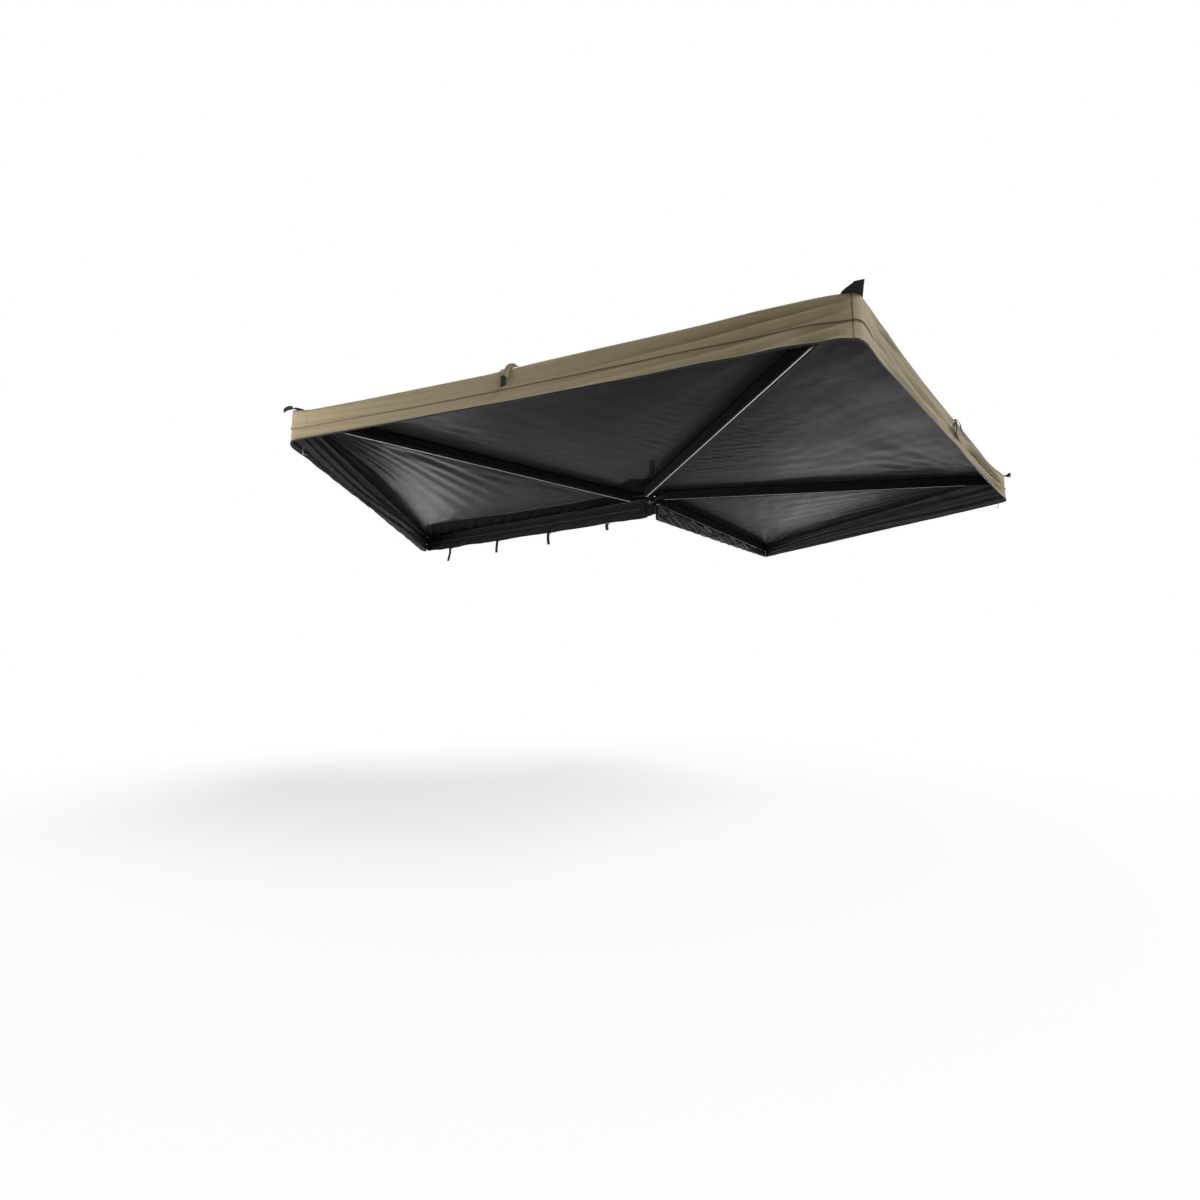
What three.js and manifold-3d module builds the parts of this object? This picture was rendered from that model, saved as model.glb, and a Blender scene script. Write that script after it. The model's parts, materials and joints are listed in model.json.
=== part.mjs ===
// A fan-shaped vehicle side awning, opened out.
// Four arms swing about one hub pin at the rear end of a backbone that bolts to a roof rack.
// Millimetres, +Z up. -X is towards the front of the vehicle, -Y is away from its side.
import * as THREE from 'three';
import { mergeVertices } from 'three/addons/utils/BufferGeometryUtils.js';
import Module from 'manifold-3d';

const wasm = await Module();
wasm.setup();

// Driving sizes of the spread canopy. Angles count from the backbone line, in degrees.
const CORNER_RADIUS = 2150;
const LAST_CORNER_RADIUS = 2060;
const CORNER_ANGLES = [67.5, 135, 202.5, 265.5];
const CLOTH_THICKNESS = 2;
const PANEL_SAG = 26;
const PANEL_FLAT_MARGIN = 60;
const PANEL_APEX_GAP = 0.5;
const SEAT_GAP = 0.3;
const CUT_OVERRUN = 5;

// The hanging border of the canopy.
const VALANCE_HEIGHT = 160;
const VALANCE_FRONT_END_HEIGHT = 130;
const VALANCE_REAR_END_HEIGHT = 100;
const VALANCE_FRONT_INSET = 18;
const VALANCE_FOLD_DEPTH = 5;
const VALANCE_FOLD_COUNTS = [4, 3, 4, 3];
const EDGE_FLAP_FOLD_DEPTH = 9;
const EDGE_FLAP_FOLD_COUNT = 5;

// Arms: rectangular aluminium tubes in cloth sleeves.
const ARM_WIDTH = 24;
const ARM_HEIGHT = 54;
const ARM_WALL = 2;
const ARM_START = 95;
const ARM_PITCH = 29;
const ARM_TIP_SETBACK = 55;
const ARM_TIP_SHIFTS = [15, -25, -25, -17];
const SLEEVE_THICKNESS = 1.5;
const SLEEVE_LIP = 4.5;
const SLEEVE_BOLT_CLEARANCE = 5;
const SLEEVE_POCKET_LENGTH = 150;
const SLEEVE_TIP_SETBACK = 4;

// Hub: two plates, four lugs on one pin, washers between the lugs.
const HUB_PLATE_THICKNESS = 5;
const HUB_PLATE_RADIUS = 30;
const HUB_PLATE_NOSE_DEGREES = [150, 410];
const HUB_PLATE_INNER_EDGE = 20;
const HUB_PLATE_OUTER_EDGE = 84;
const HUB_PLATE_SHOULDER = 84;
const HUB_PLATE_NOTCH = 70;
const HUB_PIN_RADIUS = 6;
const HUB_PIN_HEAD_RADIUS = 12;
const HUB_PIN_HEAD_THICKNESS = 3;
const HUB_NUT_ACROSS_CORNERS = 22;
const HUB_NUT_HEIGHT = 9;
const HUB_PIN_STICK_OUT = 3;
const LUG_THICKNESS = 9.4;
const LUG_EYE_RADIUS = 18;
const LUG_NECK_HALF_WIDTH = 6;
const WASHER_THICKNESS = 1.6;
const WASHER_RADIUS = 15;
const PIN_CLEARANCE = 0.3;
const PLUG_LENGTH = 60;
const PLUG_NOSE = 8;

// Backbone and what it carries.
const BACKBONE_DEPTH = 40;
const BACKBONE_FRONT = 2240;
const BACKBONE_REAR = 24;
const BACKBONE_WALL = 2.5;
const BAG_LINER_SPACE = 6;
const TRACK_MOUTH = 8.6;
const TRACK_LIP = 3;
const TRACK_CHAMBER_DEPTH = 7;
const TRACK_CHAMBER_HEIGHT = 14.6;
const END_CAP_THICKNESS = 4;
const END_CAP_PLUG = 18;
const RAIL_WIDTH = 11.4;
const RAIL_GROOVE_RADIUS = 2.6;
const RAIL_GROOVE_MOUTH = 2.4;

// Rack brackets and fasteners.
const BRACKET_PLACES = [1900, 1150, 400];
const BRACKET_WIDTH = 70;
const BRACKET_THICKNESS = 5;
const BRACKET_REACH = 60;
const BRACKET_SLOT_WIDTH = 8.6;
const BRACKET_SLOT_LENGTH = 36;
const BRACKET_SLOT_SPACING = 40;
const BOLT_RADIUS = 4;
const BOLT_CLEARANCE = 0.3;
const BOLT_HEAD_RADIUS = 6.5;
const BOLT_HEAD_HEIGHT = 5;
const BOLT_NUT_HEIGHT = 6.5;
const HUB_BOLT_PLACES = [66, 38];
const ARM_BOLT_RADIUS = 3;
const ARM_BOLT_HEAD_RADIUS = 5;
const ARM_BOLT_HEAD_HEIGHT = 0.9;
const ARM_BOLT_INSET = 32;

// Arm end caps and the wire hooks that swing on two of them.
const CAP_FLANGE = 6;
const CAP_PLUG = 30;
const EAR_THICKNESS = 4;
const EAR_RADIUS = 7;
const EAR_DROP = 11;
const EAR_HOLE_RADIUS = 2.6;
const HOOK_WIRE_RADIUS = 1.6;
const HOOK_EYE_RADIUS = 7;
const HOOK_SHANK = 100;
const HOOK_BEND_RADIUS = 8;
const HOOK_TAPER = 22;
const HOOK_ARMS = [1, 3];

// Storage bag hanging open along the backbone, and its four straps.
const BAG_FRONT = 2198;
const BAG_REAR_CLEARANCE = 5;
const BAG_BOTTOM = 130;
const BAG_LINER = 3;
const BAG_BELLY_FORWARD = 2;
const BAG_BELLY_DEPTH = 34;
const STRAP_PLACES = [1950, 1430, 920, 400];
const STRAP_LENGTHS = [110, 96, 90, 46];
const STRAP_WIDTH = 25;
const STRAP_THICKNESS = 2;
const STRAP_LAP = 26;

// Webbing tabs on the canopy corners and straps half way along two edges.
const TAB_THICKNESS = 3;
const TAB_LAP = 46;
const CORNER_TABS = [
  { label: 'front', width: 25, turn: 0, shift: 18, reach: 36, rise: -22 },
  { label: 'middle', width: 36, turn: -33.75, shift: -18, reach: 42, rise: 14 },
  { label: 'rear', width: 25, turn: 0, shift: 13, reach: 44, rise: 4 },
];
const MID_STRAPS = [
  { edge: 2, name: 'mid_strap_outer', share: 0.467, withEye: false },
  { edge: 3, name: 'mid_strap_rear', share: 0.5, withEye: true },
];
const MID_STRAP_WIDTH = 30;
const MID_STRAP_THICKNESS = 3;
const MID_STRAP_LAP = 26;
const MID_STRAP_STAND_OFF = 12;
const MID_STRAP_DROP = 58;
const RING_RADIUS = 16;
const RING_WIRE_RADIUS = 1.7;
const RING_EYE_WIDTH = 8;
const RING_EYE_HOLE_RADIUS = 2.8;

// Counts of facets and grid steps.
const ROUND_STEPS = 24;
const SMALL_ROUND_STEPS = 12;
const HEX_SIDES = 6;
const PANEL_STEPS_ALONG = 8;
const PANEL_STEPS_ACROSS = 8;
const PANEL_INNER_SHARE = 1 / PANEL_STEPS_ALONG;
const BORDER_STEPS_ALONG = 26;
const BORDER_STEPS_DOWN = 4;
const HOOK_STEPS = 36;
const HOOK_SIDES = 6;
const HOOK_BEND_DEGREES = 30;

// How close two points lie when they are one.
const WELD_DISTANCE = 1e-5;
const SHEET_WELD_DISTANCE = 1e-4;

// Heights, measured down from the top of the canopy seams.
const clothBottom = -CLOTH_THICKNESS;
const sleeveTop = clothBottom - SEAT_GAP;
const armTop = sleeveTop - SLEEVE_THICKNESS - SEAT_GAP;
const armBottom = armTop - ARM_HEIGHT;
const sleeveBottom = armBottom - SEAT_GAP - SLEEVE_THICKNESS;
const pinHeadTop = clothBottom - 2 * SEAT_GAP;
const hubTopPlateTop = pinHeadTop - HUB_PIN_HEAD_THICKNESS - SEAT_GAP;
const hubInnerTop = hubTopPlateTop - HUB_PLATE_THICKNESS;
const lugStep = LUG_THICKNESS + WASHER_THICKNESS + 2 * SEAT_GAP;
const lugTops = [0, 1, 2, 3].map((level) => hubInnerTop - SEAT_GAP - level * lugStep);
const hubInnerBottom = lugTops[3] - LUG_THICKNESS - SEAT_GAP;
const hubBottomPlateBottom = hubInnerBottom - HUB_PLATE_THICKNESS;
const backboneTop = hubInnerTop - SEAT_GAP;
const backboneBottom = hubInnerBottom + SEAT_GAP;
const backboneMiddle = (backboneTop + backboneBottom) / 2;

// Places across the vehicle. The folded arms lie side by side outboard of the backbone.
const armOffsets = [3, 2, 1, 0].map((place) => -place * ARM_PITCH);
const sleeveHalfWidth = ARM_WIDTH / 2 + SEAT_GAP + SLEEVE_THICKNESS;
const backboneFace = -armOffsets[0] + sleeveHalfWidth + BAG_LINER_SPACE;
const backboneBack = backboneFace + BACKBONE_DEPTH;
const railFace = backboneFace + SEAT_GAP;
const railBack = railFace + RAIL_WIDTH;
const bracketFace = backboneBack + SEAT_GAP;
const bracketMountY = bracketFace + BRACKET_THICKNESS + BRACKET_REACH / 2;
const bracketFoot = backboneBottom - BRACKET_THICKNESS / 2;
const bagBellyFront = backboneFace - SEAT_GAP - BAG_LINER - BAG_BELLY_FORWARD;
const sleeveStart = ARM_START + ARM_BOLT_INSET + ARM_BOLT_HEAD_RADIUS + SLEEVE_BOLT_CLEARANCE;
const edgeOverhang = sleeveHalfWidth + 2 * SEAT_GAP;
const hubBoltY = backboneFace + BACKBONE_DEPTH / 2;

const colours = {
  canvas: { color: 0x968a73, roughness: 0.9, metalness: 0 },
  lining: { color: 0x3c3b3e, roughness: 0.55, metalness: 0 },
  webbing: { color: 0x1b1a1c, roughness: 0.85, metalness: 0 },
  bag: { color: 0x26262b, roughness: 0.7, metalness: 0 },
  aluminium: { color: 0xd6d5d2, roughness: 0.38, metalness: 0.9 },
  blackMetal: { color: 0x1d1d20, roughness: 0.5, metalness: 0.6 },
  steel: { color: 0xa3a4a6, roughness: 0.35, metalness: 0.9 },
  plastic: { color: 0x151517, roughness: 0.6, metalness: 0 },
};

const awning = new THREE.Group();
awning.position.set(BRACKET_PLACES[1], -bracketMountY, -bracketFoot);

function addMesh(parent, name, geometry, finish) {
  const material = new THREE.MeshStandardMaterial(colours[finish]);
  const mesh = new THREE.Mesh(geometry, material);
  mesh.name = name;
  parent.add(mesh);
}

// A closed geometry becomes a solid that can be joined and cut.
function toSolid(geometry) {
  const bare = geometry.index ? geometry.toNonIndexed() : geometry.clone();
  for (const name of Object.keys(bare.attributes)) {
    if (name !== 'position') bare.deleteAttribute(name);
  }
  const merged = mergeVertices(bare, WELD_DISTANCE);
  const mesh = new wasm.Mesh({
    numProp: 3,
    vertProperties: new Float32Array(merged.attributes.position.array),
    triVerts: new Uint32Array(merged.index.array),
  });
  return new wasm.Manifold(mesh);
}

function toGeometry(solid) {
  const mesh = solid.getMesh();
  const geometry = new THREE.BufferGeometry();
  geometry.setAttribute('position', new THREE.BufferAttribute(new Float32Array(mesh.vertProperties), 3));
  geometry.setIndex(new THREE.BufferAttribute(new Uint32Array(mesh.triVerts), 1));
  geometry.computeVertexNormals();
  return geometry;
}

function joined(...geometries) {
  return toGeometry(geometries.map(toSolid).reduce((sum, next) => sum.add(next)));
}

function cut(geometry, ...tools) {
  return toGeometry(tools.map(toSolid).reduce((rest, tool) => rest.subtract(tool), toSolid(geometry)));
}

// A box between two corners.
function block(low, high) {
  const size = high.map((value, axis) => value - low[axis]);
  const geometry = new THREE.BoxGeometry(...size);
  return geometry.translate(...high.map((value, axis) => (value + low[axis]) / 2));
}

function shapeOf(points, holes = []) {
  const shape = new THREE.Shape(points.map(([a, b]) => new THREE.Vector2(a, b)));
  for (const hole of holes) {
    shape.holes.push(new THREE.Path(hole.map(([a, b]) => new THREE.Vector2(a, b))));
  }
  return shape;
}

// An outline in X and Y, raised from one height to another.
function plate(points, bottom, top, holes = []) {
  const settings = { depth: top - bottom, bevelEnabled: false };
  return new THREE.ExtrudeGeometry(shapeOf(points, holes), settings).translate(0, 0, bottom);
}

// An outline in Y and Z, drawn out along X.
function barAlongX(points, start, end, holes = []) {
  const settings = { depth: end - start, bevelEnabled: false };
  const geometry = new THREE.ExtrudeGeometry(shapeOf(points, holes), settings);
  const turn = new THREE.Matrix4().set(0, 0, 1, 0, 1, 0, 0, 0, 0, 1, 0, 0, 0, 0, 0, 1);
  return geometry.applyMatrix4(turn).translate(start, 0, 0);
}

// An outline in X and Z, drawn out along Y.
function barAlongY(points, start, end, holes = []) {
  const settings = { depth: end - start, bevelEnabled: false };
  const geometry = new THREE.ExtrudeGeometry(shapeOf(points, holes), settings);
  return geometry.rotateX(Math.PI / 2).translate(0, end, 0);
}

function rectangle(a0, a1, b0, b1) {
  return [[a0, b0], [a1, b0], [a1, b1], [a0, b1]];
}

function arc(centreA, centreB, radius, fromDegrees, toDegrees, steps) {
  const points = [];
  for (let step = 0; step <= steps; step += 1) {
    const angle = THREE.MathUtils.degToRad(fromDegrees + (toDegrees - fromDegrees) * step / steps);
    points.push([centreA + radius * Math.cos(angle), centreB + radius * Math.sin(angle)]);
  }
  return points;
}

function circle(centreA, centreB, radius, steps = ROUND_STEPS) {
  return arc(centreA, centreB, radius, 0, 360 - 360 / steps, steps - 1);
}

function rodAlongZ(x, y, radius, bottom, top, steps = ROUND_STEPS) {
  return plate(circle(x, y, radius, steps), bottom, top);
}

function rodAlongY(x, z, radius, start, end, steps = ROUND_STEPS) {
  return barAlongY(circle(x, z, radius, steps), start, end);
}

// A closed solid between two grids of points with the same rows and columns.
function sheetSolid(rows, columns, front, back) {
  const positions = [];
  const put = (...points) => points.forEach((point) => positions.push(...point));
  const quad = (a, b, c, d) => {
    put(a, b, c);
    put(a, c, d);
  };
  for (let row = 0; row < rows; row += 1) {
    for (let column = 0; column < columns; column += 1) {
      const around = [[row, column], [row + 1, column], [row + 1, column + 1], [row, column + 1]];
      quad(...around.map(([r, c]) => front(r / rows, c / columns)));
      const [a, b, c, d] = around.map(([r, s]) => back(r / rows, s / columns));
      quad(a, d, c, b);
    }
  }
  const rim = [];
  for (let row = 0; row < rows; row += 1) rim.push([[row, 0], [row + 1, 0]]);
  for (let column = 0; column < columns; column += 1) rim.push([[rows, column], [rows, column + 1]]);
  for (let row = rows; row > 0; row -= 1) rim.push([[row, columns], [row - 1, columns]]);
  for (let column = columns; column > 0; column -= 1) rim.push([[0, column], [0, column - 1]]);
  for (const [[r0, c0], [r1, c1]] of rim) {
    const start = [r0 / rows, c0 / columns];
    const end = [r1 / rows, c1 / columns];
    quad(front(...end), front(...start), back(...start), back(...end));
  }
  const geometry = new THREE.BufferGeometry();
  geometry.setAttribute('position', new THREE.BufferAttribute(new Float32Array(positions), 3));
  const solid = mergeVertices(geometry, SHEET_WELD_DISTANCE);
  solid.setIndex(withoutSlivers(solid.index.array));
  solid.computeVertexNormals();
  return solid;
}

// Triangles whose corners fell together are dropped.
function withoutSlivers(index) {
  const kept = [];
  for (let start = 0; start < index.length; start += 3) {
    const [a, b, c] = index.slice(start, start + 3);
    if (a !== b && b !== c && c !== a) kept.push(a, b, c);
  }
  return kept;
}

// Plan geometry of the arms. Each arm's own frame has +X along the arm and +Y to its left.
const armDirection = (degrees) => {
  const angle = THREE.MathUtils.degToRad(degrees);
  return new THREE.Vector2(-Math.cos(angle), -Math.sin(angle));
};
const leftOf = (direction) => new THREE.Vector2(-direction.y, direction.x);

const arms = CORNER_ANGLES.map((cornerAngle, index) => {
  const last = index === CORNER_ANGLES.length - 1;
  const radius = last ? LAST_CORNER_RADIUS : CORNER_RADIUS;
  const end = radius - ARM_TIP_SETBACK;
  const offset = armOffsets[index];
  const lean = Math.asin((ARM_TIP_SHIFTS[index] - offset) / end);
  const angle = cornerAngle + THREE.MathUtils.radToDeg(lean);
  const along = armDirection(angle);
  const left = leftOf(along);
  const place = (distance, side) => along.clone().multiplyScalar(distance).addScaledVector(left, side);
  const group = new THREE.Group();
  group.rotation.z = Math.PI + THREE.MathUtils.degToRad(angle);
  awning.add(group);
  return {
    number: index + 1,
    corner: armDirection(cornerAngle).multiplyScalar(radius),
    lugTop: lugTops[index],
    end,
    offset,
    angle,
    along,
    left,
    place,
    group,
  };
});

function makeArmTube(arm) {
  const { offset, end } = arm;
  const half = ARM_WIDTH / 2;
  const outside = rectangle(offset - half, offset + half, armBottom, armTop);
  const inside = rectangle(
    offset - half + ARM_WALL,
    offset + half - ARM_WALL,
    armBottom + ARM_WALL,
    armTop - ARM_WALL,
  );
  const tube = barAlongX(outside, ARM_START, end, [inside]);
  const holeRadius = ARM_BOLT_RADIUS + BOLT_CLEARANCE;
  const hole = rodAlongY(
    ARM_START + ARM_BOLT_INSET,
    (armTop + armBottom) / 2,
    holeRadius,
    offset - half - CUT_OVERRUN,
    offset + half + CUT_OVERRUN,
  );
  addMesh(arm.group, `arm_${arm.number}`, cut(tube, hole), 'aluminium');
}

// The knuckle: a block plugged into the tube, and a cranked lug that reaches the hub pin.
function makeKnuckle(arm) {
  const { offset, lugTop } = arm;
  const half = ARM_WIDTH / 2 - ARM_WALL - SEAT_GAP;
  const blockTop = armTop - ARM_WALL - SEAT_GAP;
  const blockBottom = armBottom + ARM_WALL + SEAT_GAP;
  const nose = ARM_START - PLUG_NOSE;
  const plug = block(
    [nose, offset - half, blockBottom],
    [ARM_START + PLUG_LENGTH, offset + half, blockTop],
  );
  const towards = Math.atan2(offset, nose);
  const side = THREE.MathUtils.radToDeg(towards);
  const eye = arc(0, 0, LUG_EYE_RADIUS, side + 90, side + 270, ROUND_STEPS / 2);
  const neck = [
    [nose + PLUG_NOSE / 2, offset - LUG_NECK_HALF_WIDTH],
    [nose + PLUG_NOSE / 2, offset + LUG_NECK_HALF_WIDTH],
  ];
  const lugBottom = lugTop - LUG_THICKNESS;
  const lug = plate([...eye, ...neck], lugBottom, lugTop);
  const solid = cut(
    joined(plug, lug),
    rodAlongZ(0, 0, HUB_PIN_RADIUS + PIN_CLEARANCE, lugBottom - CUT_OVERRUN, lugTop + CUT_OVERRUN),
    rodAlongY(
      ARM_START + ARM_BOLT_INSET,
      (armTop + armBottom) / 2,
      ARM_BOLT_RADIUS + BOLT_CLEARANCE,
      offset - half - CUT_OVERRUN,
      offset + half + CUT_OVERRUN,
    ),
  );
  addMesh(arm.group, `arm_${arm.number}_knuckle`, solid, 'blackMetal');
}

// A low-headed through bolt holds the knuckle in the tube.
function makeArmBolt(arm) {
  const x = ARM_START + ARM_BOLT_INSET;
  const z = (armTop + armBottom) / 2;
  const face = ARM_WIDTH / 2 + SEAT_GAP / 2;
  const headStart = face + ARM_BOLT_HEAD_HEIGHT;
  const bolt = joined(
    rodAlongY(x, z, ARM_BOLT_RADIUS, arm.offset - headStart, arm.offset + headStart, SMALL_ROUND_STEPS),
    rodAlongY(x, z, ARM_BOLT_HEAD_RADIUS, arm.offset - headStart, arm.offset - face, SMALL_ROUND_STEPS),
    rodAlongY(x, z, ARM_BOLT_HEAD_RADIUS, arm.offset + face, arm.offset + headStart, SMALL_ROUND_STEPS),
  );
  addMesh(arm.group, `arm_${arm.number}_bolt`, bolt, 'steel');
}

const earHoleZ = armBottom - EAR_DROP;

// The end cap closes the tube. On the arms with a hook it has an ear below it.
function makeArmCap(arm) {
  const { offset, end } = arm;
  const half = ARM_WIDTH / 2;
  const inner = half - ARM_WALL - SEAT_GAP;
  const flangeStart = end + SEAT_GAP;
  const flangeEnd = flangeStart + CAP_FLANGE;
  const plug = block(
    [end - CAP_PLUG, offset - inner, armBottom + ARM_WALL + SEAT_GAP],
    [flangeStart + CAP_FLANGE / 2, offset + inner, armTop - ARM_WALL - SEAT_GAP],
  );
  const flange = block([flangeStart, offset - half, armBottom], [flangeEnd, offset + half, armTop]);
  const name = `arm_${arm.number}_cap`;
  if (!HOOK_ARMS.includes(arm.number)) {
    addMesh(arm.group, name, joined(plug, flange), 'plastic');
    return;
  }
  const earX = flangeEnd - EAR_RADIUS;
  const earOutline = [
    [flangeEnd, armBottom + CAP_FLANGE],
    [earX - EAR_RADIUS, armBottom + CAP_FLANGE],
    ...arc(earX, earHoleZ, EAR_RADIUS, 180, 360, ROUND_STEPS / 2),
  ];
  const relief = block(
    [earX - EAR_RADIUS - CUT_OVERRUN, offset - EAR_THICKNESS, armBottom - SEAT_GAP],
    [flangeStart, offset + EAR_THICKNESS, armTop],
  );
  const ear = cut(barAlongY(earOutline, offset - EAR_THICKNESS / 2, offset + EAR_THICKNESS / 2), relief);
  const hole = rodAlongY(earX, earHoleZ, EAR_HOLE_RADIUS, offset - EAR_THICKNESS, offset + EAR_THICKNESS);
  addMesh(arm.group, name, cut(joined(plug, flange, ear), hole), 'plastic');
}

// The sleeve wraps the tube, open along the bottom, and is closed over the tip as a pocket.
function makeSleeve(arm) {
  const { offset, end } = arm;
  const outer = sleeveHalfWidth;
  const inner = outer - SLEEVE_THICKNESS;
  const lipInner = ARM_WIDTH / 2 - SLEEVE_LIP;
  const outerSide = [
    [lipInner, sleeveBottom],
    [outer, sleeveBottom],
    [outer, sleeveTop],
  ];
  const innerSide = [
    [lipInner, sleeveBottom + SLEEVE_THICKNESS],
    [inner, sleeveBottom + SLEEVE_THICKNESS],
    [inner, sleeveTop - SLEEVE_THICKNESS],
  ];
  const mirror = ([side, z]) => [-side, z];
  const outline = [
    ...outerSide,
    ...outerSide.map(mirror).reverse(),
    ...innerSide.map(mirror),
    ...innerSide.slice().reverse(),
  ];
  const placed = outline.map(([side, z]) => [offset + side, z]);
  const wrapEnd = end - SLEEVE_TIP_SETBACK - 2 * EAR_RADIUS;
  const wrap = barAlongX(placed, sleeveStart, wrapEnd);
  const pocketFloor = block(
    [wrapEnd - SLEEVE_POCKET_LENGTH, offset - outer, sleeveBottom],
    [wrapEnd, offset + outer, sleeveBottom + SLEEVE_THICKNESS],
  );
  addMesh(arm.group, `arm_${arm.number}_sleeve`, joined(wrap, pocketFloor), 'webbing');
}

// A bent wire hook: an eye through the ear, a shank and a turned-up end.
function makeHook(arm) {
  const x = arm.end + SEAT_GAP + CAP_FLANGE - EAR_RADIUS;
  const top = earHoleZ;
  const eye = HOOK_EYE_RADIUS;
  const shankTop = top - eye - HOOK_TAPER;
  const shankBottom = shankTop - HOOK_SHANK;
  const points = [];
  for (let degrees = -HOOK_BEND_DEGREES; degrees <= 180; degrees += HOOK_BEND_DEGREES) {
    const angle = THREE.MathUtils.degToRad(degrees);
    points.push([x, arm.offset + eye * Math.cos(angle), top - eye + eye * Math.sin(angle)]);
  }
  points.push([x, arm.offset, shankTop], [x, arm.offset, shankBottom]);
  for (let degrees = 360 - HOOK_BEND_DEGREES; degrees >= 180; degrees -= HOOK_BEND_DEGREES) {
    const angle = THREE.MathUtils.degToRad(degrees);
    const centre = x - HOOK_BEND_RADIUS;
    points.push([
      centre + HOOK_BEND_RADIUS * Math.cos(angle),
      arm.offset,
      shankBottom + HOOK_BEND_RADIUS * Math.sin(angle),
    ]);
  }
  const path = new THREE.CatmullRomCurve3(points.map((point) => new THREE.Vector3(...point)));
  const section = shapeOf(circle(0, 0, HOOK_WIRE_RADIUS, HOOK_SIDES));
  const settings = { steps: HOOK_STEPS, bevelEnabled: false, extrudePath: path };
  const wire = new THREE.ExtrudeGeometry(section, settings);
  const name = arm.number === HOOK_ARMS[0] ? 'corner_hook_front' : 'corner_hook_rear';
  addMesh(arm.group, name, wire, 'steel');
}

// The lines that bound the canopy panels, each from the hub outwards.
function boundary(number) {
  if (number === 0) {
    const start = new THREE.Vector2(-HUB_PLATE_INNER_EDGE - 2 * SEAT_GAP, railBack);
    return [start, start.clone().setX(-ARM_START), new THREE.Vector2(-BACKBONE_FRONT, railBack)];
  }
  const arm = arms[number - 1];
  const overhang = number === arms.length ? edgeOverhang : 0;
  return [new THREE.Vector2(0, 0), arm.place(ARM_START, arm.offset + overhang), arm.corner];
}

function alongBoundary(points, share) {
  const inner = PANEL_INNER_SHARE;
  if (share <= inner) return points[0].clone().lerp(points[1], share / inner);
  return points[1].clone().lerp(points[2], (share - inner) / (1 - inner));
}

// The first and last column of a panel's grid is the flat margin that lies on an arm.
function acrossPlace(across, usable, margin) {
  const column = across * PANEL_STEPS_ACROSS;
  const last = PANEL_STEPS_ACROSS - 1;
  if (column <= 1) return column * margin;
  if (column >= last) return usable - (PANEL_STEPS_ACROSS - column) * margin;
  return margin + (usable - 2 * margin) * (column - 1) / (last - 1);
}

// A canopy panel hangs in a shallow belly between the lines that carry its sides.
function makePanel(number) {
  const from = boundary(number - 1);
  const to = boundary(number);
  const middle = from[2].clone().add(to[2]).normalize();
  const surface = (drop) => (share, across) => {
    const a = alongBoundary(from, share);
    const b = alongBoundary(to, share);
    const spread = b.clone().sub(a);
    const width = spread.length();
    if (width < PANEL_APEX_GAP) {
      const apex = a.addScaledVector(middle, PANEL_APEX_GAP);
      return [apex.x, apex.y, drop];
    }
    spread.divideScalar(width);
    const usable = width - 2 * SEAT_GAP;
    const margin = Math.min(PANEL_FLAT_MARGIN, usable / 3);
    const side = acrossPlace(across, usable, margin);
    const place = a.addScaledVector(spread, SEAT_GAP + side);
    const bellyAcross = Math.max(0, Math.min(1, (side - margin) / (usable - 2 * margin)));
    const bellyAlong = Math.max(0, (share - PANEL_INNER_SHARE) / (1 - PANEL_INNER_SHARE));
    const belly = PANEL_SAG * 4 * bellyAcross * (1 - bellyAcross) * Math.sin(Math.PI * bellyAlong);
    return [place.x, place.y, drop - belly];
  };
  const rows = PANEL_STEPS_ALONG;
  const solid = sheetSolid(rows, PANEL_STEPS_ACROSS, surface(0), surface(clothBottom));
  addMesh(awning, `canopy_panel_${number}`, solid, 'lining');
}

// A strip of cloth that hangs from an edge, with soft folds that deepen downwards.
function borderStrip(start, finish, heights, foldDepth, foldCount) {
  const along = finish.clone().sub(start).normalize();
  const outward = leftOf(along).negate();
  const surface = (offset) => (share, down) => {
    const wave = Math.sin(2 * Math.PI * foldCount * share) + Math.sin(Math.PI * foldCount * share);
    const fold = foldDepth * down * Math.sin(Math.PI * share) * (1 + wave / 2) / 2;
    const height = heights[0] + (heights[1] - heights[0]) * share;
    const place = start.clone().lerp(finish, share).addScaledVector(outward, offset + fold);
    return [place.x, place.y, -height * down];
  };
  const inside = surface(SEAT_GAP);
  const outside = surface(SEAT_GAP + CLOTH_THICKNESS);
  return sheetSolid(BORDER_STEPS_ALONG, BORDER_STEPS_DOWN, inside, outside);
}

function makeValance(number) {
  const start = boundary(number - 1)[2];
  const finish = boundary(number)[2];
  const lastNumber = arms.length;
  if (number === 1) start.addScaledVector(finish.clone().sub(start).normalize(), VALANCE_FRONT_INSET);
  const heights = [
    number === 1 ? VALANCE_FRONT_END_HEIGHT : VALANCE_HEIGHT,
    number === lastNumber ? VALANCE_REAR_END_HEIGHT : VALANCE_HEIGHT,
  ];
  const strip = borderStrip(start, finish, heights, VALANCE_FOLD_DEPTH, VALANCE_FOLD_COUNTS[number - 1]);
  addMesh(awning, `valance_${number}`, strip, 'canvas');
}

// The flap along the free edge hangs beside the last arm.
function makeEdgeFlap() {
  const line = boundary(arms.length);
  const inward = line[1].clone().sub(line[2]).normalize();
  const outer = line[2].clone().addScaledVector(inward, 2 * CLOTH_THICKNESS);
  const heights = [VALANCE_REAR_END_HEIGHT, VALANCE_HEIGHT];
  const strip = borderStrip(outer, line[1], heights, EDGE_FLAP_FOLD_DEPTH, EDGE_FLAP_FOLD_COUNT);
  addMesh(awning, 'edge_flap', strip, 'lining');
}

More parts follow.
